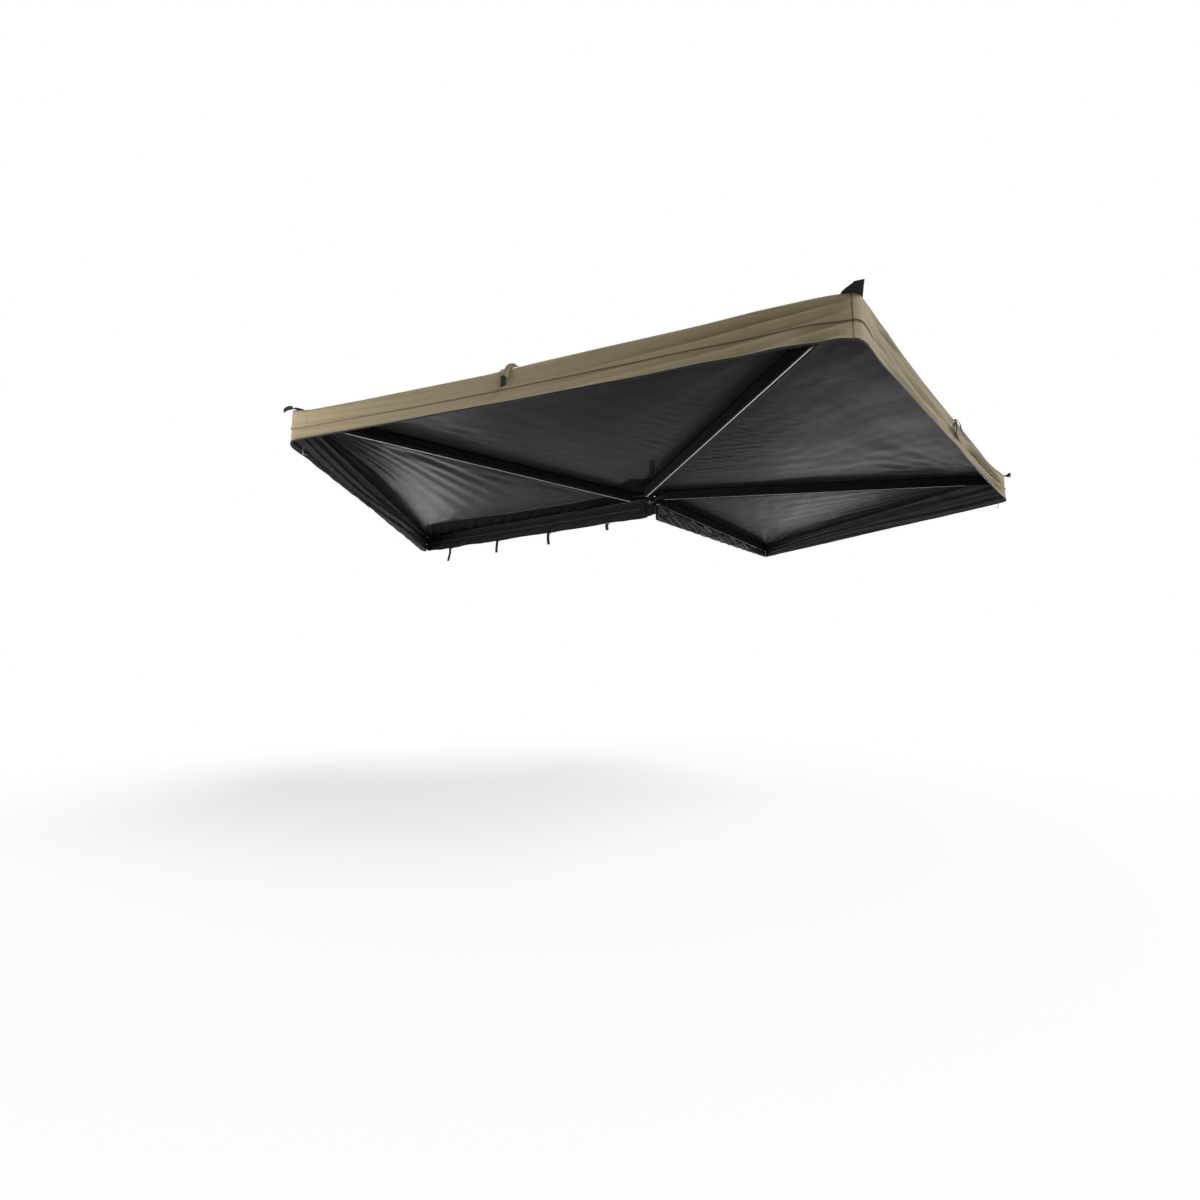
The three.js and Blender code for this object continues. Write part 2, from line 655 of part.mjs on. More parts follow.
// Corner tabs are doubled webbing that lies on the canopy and sticks out past the corner.
// All are sewn beside their corners, so that they pass each other and the backbone when the arms fold.
function makeCornerTab(arm, { label, width, turn, shift, reach, rise }) {
  const bottom = SEAT_GAP;
  const top = bottom + TAB_THICKNESS;
  const side = [
    [-TAB_LAP, bottom],
    [2 * CLOTH_THICKNESS, bottom],
    [reach, bottom + rise],
    [reach, top + rise],
    [0, top],
    [-TAB_LAP, top],
  ];
  const tab = barAlongY(side, shift - width / 2, shift + width / 2);
  tab.rotateZ(Math.atan2(arm.corner.y, arm.corner.x) + THREE.MathUtils.degToRad(turn));
  tab.translate(arm.corner.x, arm.corner.y, 0);
  addMesh(awning, `corner_tab_${label}`, tab, 'webbing');
}

function edgeFrame(number, share) {
  const start = boundary(number - 1)[2];
  const finish = boundary(number)[2];
  const along = finish.clone().sub(start).normalize();
  const outward = leftOf(along).negate();
  const place = start.clone().lerp(finish, share);
  const group = new THREE.Group();
  group.position.set(place.x, place.y, 0);
  group.rotation.z = Math.atan2(outward.y, outward.x);
  awning.add(group);
  return group;
}

// A strap over the canopy edge: it lies on top, stands off the border and hangs down.
function makeMidStrap({ edge, name, share, withEye }) {
  const bottom = SEAT_GAP;
  const top = bottom + MID_STRAP_THICKNESS;
  const face = 2 * SEAT_GAP + CLOTH_THICKNESS + VALANCE_FOLD_DEPTH + MID_STRAP_STAND_OFF;
  const side = [
    [-MID_STRAP_LAP, bottom],
    [face, bottom],
    [face, -MID_STRAP_DROP],
    [face + MID_STRAP_THICKNESS, -MID_STRAP_DROP],
    [face + MID_STRAP_THICKNESS, top],
    [-MID_STRAP_LAP, top],
  ];
  const group = edgeFrame(edge, share);
  const strap = barAlongY(side, -MID_STRAP_WIDTH / 2, MID_STRAP_WIDTH / 2);
  if (!withEye) {
    addMesh(group, name, strap, 'webbing');
    return;
  }
  const eyeX = face + MID_STRAP_THICKNESS / 2;
  const eyeZ = -MID_STRAP_DROP - RING_EYE_HOLE_RADIUS;
  const halfEye = RING_EYE_WIDTH / 2;
  const eyeRadius = RING_EYE_HOLE_RADIUS + MID_STRAP_THICKNESS / 2;
  const eye = rodAlongY(eyeX, eyeZ, eyeRadius, -halfEye, halfEye, SMALL_ROUND_STEPS);
  const hole = rodAlongY(eyeX, eyeZ, RING_EYE_HOLE_RADIUS, -halfEye - CUT_OVERRUN, halfEye + CUT_OVERRUN);
  addMesh(group, name, cut(joined(strap, eye), hole), 'webbing');

  const ring = new THREE.TorusGeometry(RING_RADIUS, RING_WIRE_RADIUS, HOOK_SIDES, ROUND_STEPS);
  ring.rotateY(Math.PI / 2).translate(eyeX, 0, eyeZ - RING_RADIUS);
  addMesh(group, 'strap_ring', ring, 'steel');
}

function makeBackbone() {
  const chamberFace = backboneBack - TRACK_LIP - TRACK_CHAMBER_DEPTH;
  const mouthHalf = TRACK_MOUTH / 2;
  const chamberHalf = TRACK_CHAMBER_HEIGHT / 2;
  const outline = [
    [backboneFace, backboneBottom],
    [backboneBack, backboneBottom],
    [backboneBack, backboneMiddle - mouthHalf],
    [backboneBack - TRACK_LIP, backboneMiddle - mouthHalf],
    [backboneBack - TRACK_LIP, backboneMiddle - chamberHalf],
    [chamberFace, backboneMiddle - chamberHalf],
    [chamberFace, backboneMiddle + chamberHalf],
    [backboneBack - TRACK_LIP, backboneMiddle + chamberHalf],
    [backboneBack - TRACK_LIP, backboneMiddle + mouthHalf],
    [backboneBack, backboneMiddle + mouthHalf],
    [backboneBack, backboneTop],
    [backboneFace, backboneTop],
  ];
  const hollow = rectangle(
    backboneFace + BACKBONE_WALL,
    chamberFace - BACKBONE_WALL,
    backboneBottom + BACKBONE_WALL,
    backboneTop - BACKBONE_WALL,
  );
  const bar = barAlongX(outline, -BACKBONE_FRONT, -BACKBONE_REAR, [hollow]);
  const holes = HUB_BOLT_PLACES.map((place) => rodAlongZ(
    -place,
    hubBoltY,
    BOLT_RADIUS + BOLT_CLEARANCE,
    backboneBottom - CUT_OVERRUN,
    backboneTop + CUT_OVERRUN,
  ));
  addMesh(awning, 'backbone', cut(bar, ...holes), 'blackMetal');

  const cap = joined(
    block(
      [-BACKBONE_FRONT - SEAT_GAP - END_CAP_THICKNESS, backboneFace, backboneBottom],
      [-BACKBONE_FRONT - SEAT_GAP, backboneBack, backboneTop],
    ),
    block(
      [-BACKBONE_FRONT - 2 * SEAT_GAP, hollow[0][0] + SEAT_GAP, hollow[0][1] + SEAT_GAP],
      [-BACKBONE_FRONT + END_CAP_PLUG, hollow[1][0] - SEAT_GAP, hollow[2][1] - SEAT_GAP],
    ),
  );
  addMesh(awning, 'backbone_end_cap', cap, 'plastic');
}

// The rail that holds the canopy's inner edge on top of the backbone.
function makeCanopyRail() {
  const bottom = backboneTop + SEAT_GAP;
  const top = sleeveTop;
  const grooveZ = (bottom + top) / 2;
  const grooveY = railFace + RAIL_GROOVE_RADIUS + RAIL_GROOVE_MOUTH / 2;
  const halfMouth = THREE.MathUtils.radToDeg(Math.asin(RAIL_GROOVE_MOUTH / 2 / RAIL_GROOVE_RADIUS));
  const outline = [
    [railFace, bottom],
    [railBack, bottom],
    [railBack, top],
    [railFace, top],
    [railFace, grooveZ + RAIL_GROOVE_MOUTH / 2],
    ...arc(grooveY, grooveZ, RAIL_GROOVE_RADIUS, 180 - halfMouth, -180 + halfMouth, ROUND_STEPS / 2),
    [railFace, grooveZ - RAIL_GROOVE_MOUTH / 2],
  ];
  const start = -BACKBONE_FRONT;
  const end = -HUB_PLATE_OUTER_EDGE - BOLT_RADIUS;
  addMesh(awning, 'canopy_rail', barAlongX(outline, start, end), 'aluminium');
}

function hubPlateOutline() {
  return [
    [-HUB_PLATE_OUTER_EDGE, backboneBack],
    [-HUB_PLATE_OUTER_EDGE, HUB_PLATE_NOTCH],
    ...arc(0, 0, HUB_PLATE_RADIUS, ...HUB_PLATE_NOSE_DEGREES, ROUND_STEPS),
    [-HUB_PLATE_INNER_EDGE, HUB_PLATE_SHOULDER],
    [-HUB_PLATE_INNER_EDGE, backboneBack],
  ];
}

function makeHub() {
  const holes = [
    circle(0, 0, HUB_PIN_RADIUS + PIN_CLEARANCE),
    ...HUB_BOLT_PLACES.map((place) => circle(-place, hubBoltY, BOLT_RADIUS + BOLT_CLEARANCE)),
  ];
  const outline = hubPlateOutline();
  addMesh(awning, 'hub_plate_top', plate(outline, hubInnerTop, hubTopPlateTop, holes), 'blackMetal');
  const bottomPlate = plate(outline, hubBottomPlateBottom, hubInnerBottom, holes);
  addMesh(awning, 'hub_plate_bottom', bottomPlate, 'blackMetal');

  const nutTop = hubBottomPlateBottom - SEAT_GAP;
  const nutBottom = nutTop - HUB_NUT_HEIGHT;
  const pin = joined(
    rodAlongZ(0, 0, HUB_PIN_HEAD_RADIUS, pinHeadTop - HUB_PIN_HEAD_THICKNESS, pinHeadTop),
    rodAlongZ(0, 0, HUB_PIN_RADIUS, nutBottom - HUB_PIN_STICK_OUT, pinHeadTop - SEAT_GAP),
  );
  addMesh(awning, 'hub_pin', pin, 'steel');
  const nutHole = circle(0, 0, HUB_PIN_RADIUS + PIN_CLEARANCE);
  const nut = plate(circle(0, 0, HUB_NUT_ACROSS_CORNERS / 2, HEX_SIDES), nutBottom, nutTop, [nutHole]);
  addMesh(awning, 'hub_pin_nut', nut, 'steel');

  for (const [index, lugTop] of lugTops.slice(0, -1).entries()) {
    const top = lugTop - LUG_THICKNESS - SEAT_GAP;
    const hole = circle(0, 0, HUB_PIN_RADIUS + PIN_CLEARANCE);
    const washer = plate(circle(0, 0, WASHER_RADIUS), top - WASHER_THICKNESS, top, [hole]);
    addMesh(awning, `hub_washer_${index + 1}`, washer, 'plastic');
  }

  for (const [index, place] of HUB_BOLT_PLACES.entries()) {
    const headBottom = hubTopPlateTop + SEAT_GAP;
    const lowerNutTop = hubBottomPlateBottom - SEAT_GAP;
    const lowerNutBottom = lowerNutTop - BOLT_NUT_HEIGHT;
    const bolt = joined(
      rodAlongZ(-place, hubBoltY, BOLT_RADIUS, lowerNutBottom, headBottom + BOLT_HEAD_HEIGHT / 2),
      rodAlongZ(-place, hubBoltY, BOLT_HEAD_RADIUS, headBottom, headBottom + BOLT_HEAD_HEIGHT, HEX_SIDES),
      rodAlongZ(-place, hubBoltY, BOLT_HEAD_RADIUS, lowerNutBottom, lowerNutTop, HEX_SIDES),
    );
    addMesh(awning, `hub_bolt_${index + 1}`, bolt, 'steel');
  }
}

// An L bracket: one leg bolts to the backbone's track, the other sits on a rack bar.
function makeBracket(place, label) {
  const half = BRACKET_WIDTH / 2;
  const footTop = bracketFoot + BRACKET_THICKNESS;
  const legBack = bracketFace + BRACKET_THICKNESS;
  const footEnd = legBack + BRACKET_REACH;
  const slotHalf = BRACKET_SLOT_LENGTH / 2 - BRACKET_SLOT_WIDTH / 2;
  const radius = BRACKET_SLOT_WIDTH / 2;
  const slots = [-1, 1].map((hand) => {
    const centre = -place + hand * BRACKET_SLOT_SPACING / 2;
    return [
      ...arc(centre, bracketMountY + slotHalf, radius, 0, 180, ROUND_STEPS / 3),
      ...arc(centre, bracketMountY - slotHalf, radius, 180, 360, ROUND_STEPS / 3),
    ];
  });
  const footOutline = rectangle(-place - half, -place + half, bracketFace, footEnd);
  const foot = plate(footOutline, bracketFoot, footTop, slots);
  const leg = block([-place - half, bracketFace, bracketFoot], [-place + half, legBack, backboneTop]);
  const hole = rodAlongY(
    -place,
    backboneMiddle,
    BOLT_RADIUS + BOLT_CLEARANCE,
    bracketFace - SEAT_GAP / 2,
    legBack + CUT_OVERRUN,
  );
  addMesh(awning, `bracket_${label}`, cut(joined(foot, leg), hole), 'blackMetal');

  const headFront = backboneBack - TRACK_LIP - SEAT_GAP - BOLT_HEAD_HEIGHT;
  const headBack = headFront + BOLT_HEAD_HEIGHT;
  const nutFront = legBack + SEAT_GAP;
  const nutBack = nutFront + BOLT_NUT_HEIGHT;
  const bolt = joined(
    block(
      [-place - BOLT_HEAD_RADIUS, headFront, backboneMiddle - BOLT_HEAD_RADIUS],
      [-place + BOLT_HEAD_RADIUS, headBack, backboneMiddle + BOLT_HEAD_RADIUS],
    ),
    rodAlongY(-place, backboneMiddle, BOLT_RADIUS, headFront + SEAT_GAP, nutBack),
    rodAlongY(-place, backboneMiddle, BOLT_HEAD_RADIUS, nutFront, nutBack, HEX_SIDES),
  );
  addMesh(awning, `bracket_bolt_${label}`, bolt, 'steel');
}

// The open bag: a liner flat on the backbone, and a slack belly below it.
function makeBag() {
  const linerBack = backboneFace - SEAT_GAP;
  const linerFace = linerBack - BAG_LINER;
  const bellyTop = hubBottomPlateBottom - BAG_LINER;
  const bellyBack = bagBellyFront + BAG_BELLY_DEPTH;
  const depth = BAG_BOTTOM + bellyTop;
  const outline = [
    [linerBack, backboneTop],
    [linerFace, backboneTop],
    [linerFace, bellyTop],
    [bagBellyFront, bellyTop - depth / 3],
    [bagBellyFront, -BAG_BOTTOM + depth / 6],
    [bagBellyFront + 2 * BAG_LINER, -BAG_BOTTOM],
    [bellyBack - 2 * BAG_LINER, -BAG_BOTTOM],
    [bellyBack, -BAG_BOTTOM + depth / 3],
    [linerBack, bellyTop],
  ];
  const bagRear = HUB_PLATE_OUTER_EDGE + BAG_REAR_CLEARANCE;
  addMesh(awning, 'storage_bag', barAlongX(outline, -BAG_FRONT, -bagRear), 'bag');
}

// Each strap is sewn flat under the bag and hangs from its outer edge.
function makeBagStrap(place, length, number) {
  const front = bagBellyFront + 2 * BAG_LINER;
  const top = -BAG_BOTTOM - SEAT_GAP;
  const curl = STRAP_WIDTH / 4;
  const side = [
    [front + STRAP_LAP - 2 * BAG_LINER, top],
    [front, top],
    [front - STRAP_THICKNESS, top - STRAP_THICKNESS],
    [front - STRAP_THICKNESS + curl, -BAG_BOTTOM - length],
    [front + curl, -BAG_BOTTOM - length],
    [front, top - STRAP_THICKNESS],
    [front + STRAP_LAP - 2 * BAG_LINER, top - STRAP_THICKNESS],
  ];
  const half = STRAP_WIDTH / 2;
  addMesh(awning, `bag_strap_${number}`, barAlongX(side, -place - half, -place + half), 'webbing');
}

makeBackbone();
makeCanopyRail();
makeHub();
['front', 'middle', 'rear'].forEach((label, index) => makeBracket(BRACKET_PLACES[index], label));
makeBag();
STRAP_PLACES.forEach((place, index) => makeBagStrap(place, STRAP_LENGTHS[index], index + 1));
for (const arm of arms) {
  makeArmTube(arm);
  makeKnuckle(arm);
  makeArmBolt(arm);
  makeArmCap(arm);
  makeSleeve(arm);
  if (HOOK_ARMS.includes(arm.number)) makeHook(arm);
}
for (const arm of arms) {
  makePanel(arm.number);
  makeValance(arm.number);
}
makeEdgeFlap();
CORNER_TABS.forEach((tab, index) => makeCornerTab(arms[index], tab));
MID_STRAPS.forEach(makeMidStrap);

export default awning;
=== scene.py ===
import json
import math

import bpy
import numpy as np
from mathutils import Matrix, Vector


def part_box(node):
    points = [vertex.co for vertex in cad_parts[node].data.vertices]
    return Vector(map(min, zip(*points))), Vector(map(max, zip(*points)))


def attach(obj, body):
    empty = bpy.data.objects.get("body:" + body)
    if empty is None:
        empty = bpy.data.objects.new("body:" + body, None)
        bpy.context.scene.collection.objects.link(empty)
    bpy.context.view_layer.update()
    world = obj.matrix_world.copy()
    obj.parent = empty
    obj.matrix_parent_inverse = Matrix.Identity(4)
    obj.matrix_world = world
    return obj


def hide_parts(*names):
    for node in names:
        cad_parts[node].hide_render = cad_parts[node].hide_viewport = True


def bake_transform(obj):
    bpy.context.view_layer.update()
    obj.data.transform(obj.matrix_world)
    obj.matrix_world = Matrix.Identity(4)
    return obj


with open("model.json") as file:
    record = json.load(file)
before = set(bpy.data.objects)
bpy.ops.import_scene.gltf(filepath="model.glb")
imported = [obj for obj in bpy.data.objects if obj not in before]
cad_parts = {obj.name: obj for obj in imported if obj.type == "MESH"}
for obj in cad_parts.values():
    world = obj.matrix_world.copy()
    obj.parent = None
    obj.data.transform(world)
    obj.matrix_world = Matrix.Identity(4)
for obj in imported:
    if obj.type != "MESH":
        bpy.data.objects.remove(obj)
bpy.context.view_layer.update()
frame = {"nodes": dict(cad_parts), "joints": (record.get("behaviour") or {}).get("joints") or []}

# Metres and degrees. Plan places count from the hub pin, heights from the top of the canopy.
HUB_JOINT = next(joint for joint in frame["joints"] if joint["name"] == "arm_1_swing")
CANOPY_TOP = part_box("canopy_panel_1")[1][2]
ORIGIN = np.array([HUB_JOINT["pos_m"][0], HUB_JOINT["pos_m"][1], CANOPY_TOP])
BODIES = ["base", "arm_1", "arm_2", "arm_3", "arm_4"]
ARMS = (1, 2, 3, 4)
UP = np.array([0.0, 0.0, 1.0])
REARWARDS = np.array([0.0, 1.0, 0.0])

# The canopy's plan, as the frame has it.
CORNER_RADII = [2.15, 2.15, 2.15, 2.06]
CORNER_ANGLES = [67.5, 135.0, 202.5, 265.5]
ARM_ANGLES = [70.2907, 135.9025, 202.6094, 265.0142]
ARM_OFFSETS = [-0.087, -0.058, -0.029, 0.0]
ARM_START = 0.095
ARM_ENDS = [2.095, 2.095, 2.095, 2.005]
SLEEVE_TOP = -0.0023
SLEEVE_BOTTOM = -0.0599
SLEEVE_HALF = 0.0138
SLEEVE_START = 0.0948
SLEEVE_LIPS = [0.0062, 0.004, 0.0062, 0.0058]
EDGE_OVERHANG = 0.0144
RAIL_Y = 0.1185
RAIL_FRONT = 2.24
HUB_EDGE_X = 0.0206
RAIL_CORNER = (-RAIL_FRONT, RAIL_Y)
HUB = (0.0, 0.0)
HUB_SHARE = 0.015
INNER_SHARE = 0.06
CORNER_ROUND = 0.03
BORDER_HEIGHT = 0.16
BORDER_ENDS = [(0.13, 0.16), (0.16, 0.16), (0.16, 0.16), (0.16, 0.1)]
CLOTH_THICKNESS = 0.0016
PANEL_SAG = 0.026

# Black cloth on the lining: bands beside the arms, a patch round the hub with a strap square to
# HUB_STRAP, and a strip along the rail. The hub patch is partly real black cloth and partly painted shade,
# the dark that falls on the lining near the hub.
BAND_WIDTH = 0.062
REAR_BAND_WIDTH = 0.135
REAR_BAND_FADE = (2.2, 1.5)
REAR_BAND_SHARPNESS = 3.0
HUB_PATCH_AND_SHADE_RADII = {1: 0.28, 2: 0.34, 3: 0.12, 4: 0.16}
HUB_STRAP = (0.471, 0.882)
HUB_STRAP_HALF = 0.013
HUB_STRAP_REACH = 0.66
STRIP_PLACES = [-2.24, -2.117, -1.9, -1.688, -1.41, -1.113, -0.958, -0.679, -0.349, -0.117, 0.0]
STRIP_WIDTHS = [0.06, 0.065, 0.31, 0.33, 0.315, 0.3, 0.292, 0.28, 0.262, 0.2, 0.1]

# How far the top edge and the hem stand above a straight line from corner to corner.
EDGE_LIFTS = {
    2: ([0.0, 0.05, 0.17, 0.43, 0.52, 0.64, 0.72, 0.8, 0.87, 0.95, 0.985, 1.0],
        [-0.006, -0.019, -0.022, -0.021, -0.012, -0.004, 0.0, 0.005, 0.013, 0.016, 0.014, 0.006]),
    3: ([0.0, 0.05, 0.12, 0.2, 0.3, 0.4, 0.55, 0.7, 0.79, 0.87, 0.95, 1.0],
        [0.006, 0.0, -0.017, -0.025, -0.035, -0.037, -0.036, -0.038, -0.042, -0.032, -0.01, 0.0]),
}
HEM_LIFTS = {
    1: ([0.0, 0.02, 0.05, 0.1, 0.2, 0.5, 1.0], [0.0, -0.009, -0.015, -0.014, -0.008, 0.0, 0.0]),
    2: ([0.0, 0.6, 0.72, 0.8, 0.93, 1.0], [0.0, 0.0, 0.007, 0.011, 0.014, 0.004]),
}
STRAP_SHARES = {2: 0.467, 3: 0.5}


# Camera first: it stands where the photograph was taken from. Its angles are in radians.
SENSOR_WIDTH = 36.0
LENS = 18.03
FAR_CLIP = 200.0
CAMERA_PLACE = (2.9058, -3.6553, -1.1546)
CAMERA_PITCH = 0.1269
CAMERA_HEADING = 0.5541


def new_object(name, data):
    made = bpy.data.objects.new(name, data)
    bpy.context.scene.collection.objects.link(made)
    return made


def make_camera():
    data = bpy.data.cameras.new("camera")
    data.sensor_width = SENSOR_WIDTH
    data.lens = LENS
    data.clip_end = FAR_CLIP
    camera = new_object("camera", data)
    camera.location = CAMERA_PLACE
    camera.rotation_euler = (math.pi / 2 + CAMERA_PITCH, 0.0, CAMERA_HEADING)
    bpy.context.scene.camera = camera


make_camera()


# Small helpers for shapes.
WAVE_COUNT = 7
WAVE_LENGTHS = (0.7, 1.4)
RAY_COUNT = 5
RAY_SPACINGS = (0.6, 1.5)
RAY_BENDS = (-6.0, 6.0)


def smooth(low, high, value):
    share = np.clip((value - low) / (high - low), 0.0, 1.0)
    return share * share * (3.0 - 2.0 * share)


def waves(x, y, seed, length, heading, spread):
    """Ripples of about this length that change along the heading, from -1 to 1 or so."""
    rng = np.random.default_rng(seed)
    total = np.zeros(np.broadcast(x, y).shape)
    for _ in range(WAVE_COUNT):
        turn = math.radians(heading + rng.uniform(-spread, spread))
        wave = length * rng.uniform(*WAVE_LENGTHS)
        phase = rng.uniform(0.0, math.tau)
        total += np.sin(math.tau * (x * math.cos(turn) + y * math.sin(turn)) / wave + phase)
    return total / math.sqrt(WAVE_COUNT)


def rays(x, y, centre, towards, seed, spacing, near, reach):
    """Folds that fan out from a corner, spaced in degrees, and die away with distance."""
    rng = np.random.default_rng(seed)
    dx, dy = x - centre[0], y - centre[1]
    distance = np.hypot(dx, dy)
    facing = math.atan2(towards[1] - centre[1], towards[0] - centre[0])
    angle = np.degrees((np.arctan2(dy, dx) - facing + math.pi) % math.tau - math.pi)
    total = np.zeros(angle.shape)
    for _ in range(RAY_COUNT):
        gap = spacing * rng.uniform(*RAY_SPACINGS)
        bend = rng.uniform(*RAY_BENDS)
        total += np.sin(math.tau * (angle + bend * distance) / gap + rng.uniform(0.0, 6.28))
    fading = np.minimum(distance / near, 1.0) * np.exp(-((distance / reach) ** 2))
    return total / math.sqrt(RAY_COUNT) * fading


def direction(degrees):
    angle = math.radians(degrees)
    return np.array([-math.cos(angle), -math.sin(angle)])


def left_of(vector):
    return np.array([-vector[1], vector[0]])


def arm_place(number, distance, side):
    along = direction(ARM_ANGLES[number - 1])
    return np.multiply.outer(distance, along) + np.multiply.outer(side, left_of(along))


def corner(number):
    return direction(CORNER_ANGLES[number - 1]) * CORNER_RADII[number - 1]


def edge_line(number):
    """The line under which side `number` of the canopy is carried: hub, arm or rail start, corner."""
    if number == 0:
        return np.array([(-HUB_EDGE_X, RAIL_Y), (-ARM_START, RAIL_Y), (-RAIL_FRONT, RAIL_Y)])
    side = ARM_OFFSETS[number - 1] + (EDGE_OVERHANG if number == 4 else 0.0)
    start = arm_place(number, ARM_START, side)
    hub = start * HUB_SHARE
    return np.array([hub, start, corner(number)])


def along_line(line, share):
    share = np.asarray(share)[:, None]
    first = line[0] + (line[1] - line[0]) * np.clip(share / INNER_SHARE, 0.0, 1.0)
    second = line[1] + (line[2] - line[1]) * (share - INNER_SHARE) / (1.0 - INNER_SHARE)
    return np.where(share <= INNER_SHARE, first, second)


def edge_directions(number):
    """Start, length, direction and outward direction of the canopy edge that ends at a corner."""
    start, finish = edge_line(number - 1)[2], edge_line(number)[2]
    length = float(np.linalg.norm(finish - start))
    along = (finish - start) / length
    return start, length, along, -left_of(along)


def round_corners(plan, offset):
    """Points past a canopy corner are drawn onto its rounding, this far outside it."""
    for number in (1, 2, 3):
        first, second = edge_directions(number)[3], edge_directions(number + 1)[3]
        centre = corner(number) - CORNER_ROUND * (first + second) / (1.0 + first @ second)
        away = plan - centre
        past_first = first[0] * away[..., 1] - first[1] * away[..., 0]
        past_second = away[..., 0] * second[1] - away[..., 1] * second[0]
        distance = np.linalg.norm(away, axis=-1)
        reach = CORNER_ROUND + offset
        past = (past_first >= 0.0) & (past_second >= 0.0) & (distance > reach)
        plan = centre + away * np.where(past, reach / np.maximum(distance, 1e-9), 1.0)[..., None]
    return plan


def lift_at(table, number, share):
    if number not in table:
        return 0.0 * share
    return np.interp(share, *table[number])


def stacked(*parts):
    """Grids of one shape from parts that stretch to it, as the last axis."""
    return np.dstack(np.broadcast_arrays(*parts))


def curve_through(points, count):
    """A smooth path through points, as many steps as asked for."""
    points = np.asarray(points, float)
    padded = np.concatenate([[2 * points[0] - points[1]], points, [2 * points[-1] - points[-2]]])
    place = np.linspace(0.0, len(points) - 1.0, count)
    index = np.minimum(place.astype(int), len(points) - 2)
    step = (place - index)[:, None]
    before, start, end, after = (padded[index + shift] for shift in range(4))
    bend = 2 * before - 5 * start + 4 * end - after
    twist = 3 * start - before - 3 * end + after
    return start + 0.5 * step * (end - before + step * (bend + step * twist))


def sheet_object(name, front, back, cloth, seam, finishes, front_finish=0, back_finish=0):
    """A thin closed mesh between two grids of points. Cloth and seam are two coordinates each, and the
    last two are numbers in the list of finishes, one for all or one a face."""
    rows, columns = front.shape[:2]
    across, down = front[:, 1:-1] - front[:, :-2], front[1:-1] - front[:-2]
    normal = np.cross(down[:, :-2], across[:-2])
    flip = np.sum(normal * (front - back)[:-2, :-2]) < 0.0
    index = np.arange(rows * columns).reshape(rows, columns)
    quads = np.stack([index[:-1, :-1], index[1:, :-1], index[1:, 1:], index[:-1, 1:]], -1).reshape(-1, 4)
    loop = np.concatenate([index[:, 0], index[-1, 1:], index[-2::-1, -1], index[0, -2::-1]])
    count = rows * columns
    rim = np.stack([loop[1:], loop[:-1], loop[:-1] + count, loop[1:] + count], -1)
    faces = np.concatenate([quads, quads[:, [0, 3, 2, 1]] + count, rim])
    if flip:
        faces = faces[:, [0, 3, 2, 1]]
    points = np.concatenate([front.reshape(-1, 3), back.reshape(-1, 3)]) + ORIGIN
    mesh = bpy.data.meshes.new(name)
    mesh.from_pydata(points.tolist(), [], faces.tolist())
    for finish in finishes:
        mesh.materials.append(finish)
    size = (rows - 1, columns - 1)
    fronts = np.broadcast_to(front_finish, size).ravel()
    backs = np.broadcast_to(back_finish, size).ravel()
    rims = np.full(len(rim), backs[0])
    mesh.polygons.foreach_set("material_index", np.concatenate([fronts, backs, rims]).astype(np.int32))
    smooth_faces = np.ones(len(faces), bool)
    smooth_faces[2 * len(quads):] = False
    mesh.polygons.foreach_set("use_smooth", smooth_faces)
    for label, pair in (("cloth", cloth), ("seam", seam)):
        both = np.zeros((2 * count, 3), np.float32)
        both[:, :2] = np.tile(stacked(*pair).reshape(-1, 2), (2, 1))
        layer = mesh.attributes.new(label, "FLOAT_VECTOR", "POINT")
        layer.data.foreach_set("vector", both.ravel())
    mesh.update()
    return new_object(name, mesh)


TUBE_SIDES = 8
TUBE_REFERENCE = (0.0, 0.31, 0.95)
RIBBON_COLUMNS = 7


def tube_object(name, path, radius, finish):
    """A round cord or wire along points, closed at both ends."""
    path = np.asarray(path, float)
    ahead = np.gradient(path, axis=0)
    ahead /= np.linalg.norm(ahead, axis=1, keepdims=True)
    side = np.cross(ahead, TUBE_REFERENCE)
    side /= np.linalg.norm(side, axis=1, keepdims=True)
    up = np.cross(side, ahead)
    turn = np.linspace(0.0, math.tau, TUBE_SIDES, endpoint=False)
    ring = np.cos(turn)[None, :, None] * side[:, None] + np.sin(turn)[None, :, None] * up[:, None]
    points = (path[:, None] + radius * ring).reshape(-1, 3) + ORIGIN
    row = np.arange(len(path) - 1)[:, None] * TUBE_SIDES
    step = np.arange(TUBE_SIDES)
    after = (step + 1) % TUBE_SIDES
    quads = np.stack([row + step, row + after, row + TUBE_SIDES + after, row + TUBE_SIDES + step], -1)
    faces = quads.reshape(-1, 4).tolist()
    faces.append(tuple(range(TUBE_SIDES - 1, -1, -1)))
    faces.append(tuple(range((len(path) - 1) * TUBE_SIDES, len(path) * TUBE_SIDES)))
    mesh = bpy.data.meshes.new(name)
    mesh.from_pydata(points.tolist(), [], faces)
    mesh.materials.append(finish)
    mesh.polygons.foreach_set("use_smooth", np.ones(len(faces), bool))
    return new_object(name, mesh)


def ribbon_object(name, path, across, thickness, finish):
    """Webbing along a path. Across is half its width, as one vector or one for each point."""
    across = np.broadcast_to(np.asarray(across, float), path.shape)
    lateral = np.linspace(-1.0, 1.0, RIBBON_COLUMNS)
    grid = path[:, None] + lateral[None, :, None] * across[:, None]
    normal = np.cross(np.gradient(path, axis=0), across)
    normal /= np.linalg.norm(normal, axis=1, keepdims=True)
    half = 0.5 * thickness * normal[:, None]
    run = np.concatenate([[0.0], np.cumsum(np.linalg.norm(np.diff(path, axis=0), axis=1))])[:, None]
    width = np.linalg.norm(across, axis=1)[:, None]
    seam = ((1.0 - np.abs(lateral)) * width, run)
    return sheet_object(name, grid + half, grid - half, (lateral * width, run), seam, [finish])


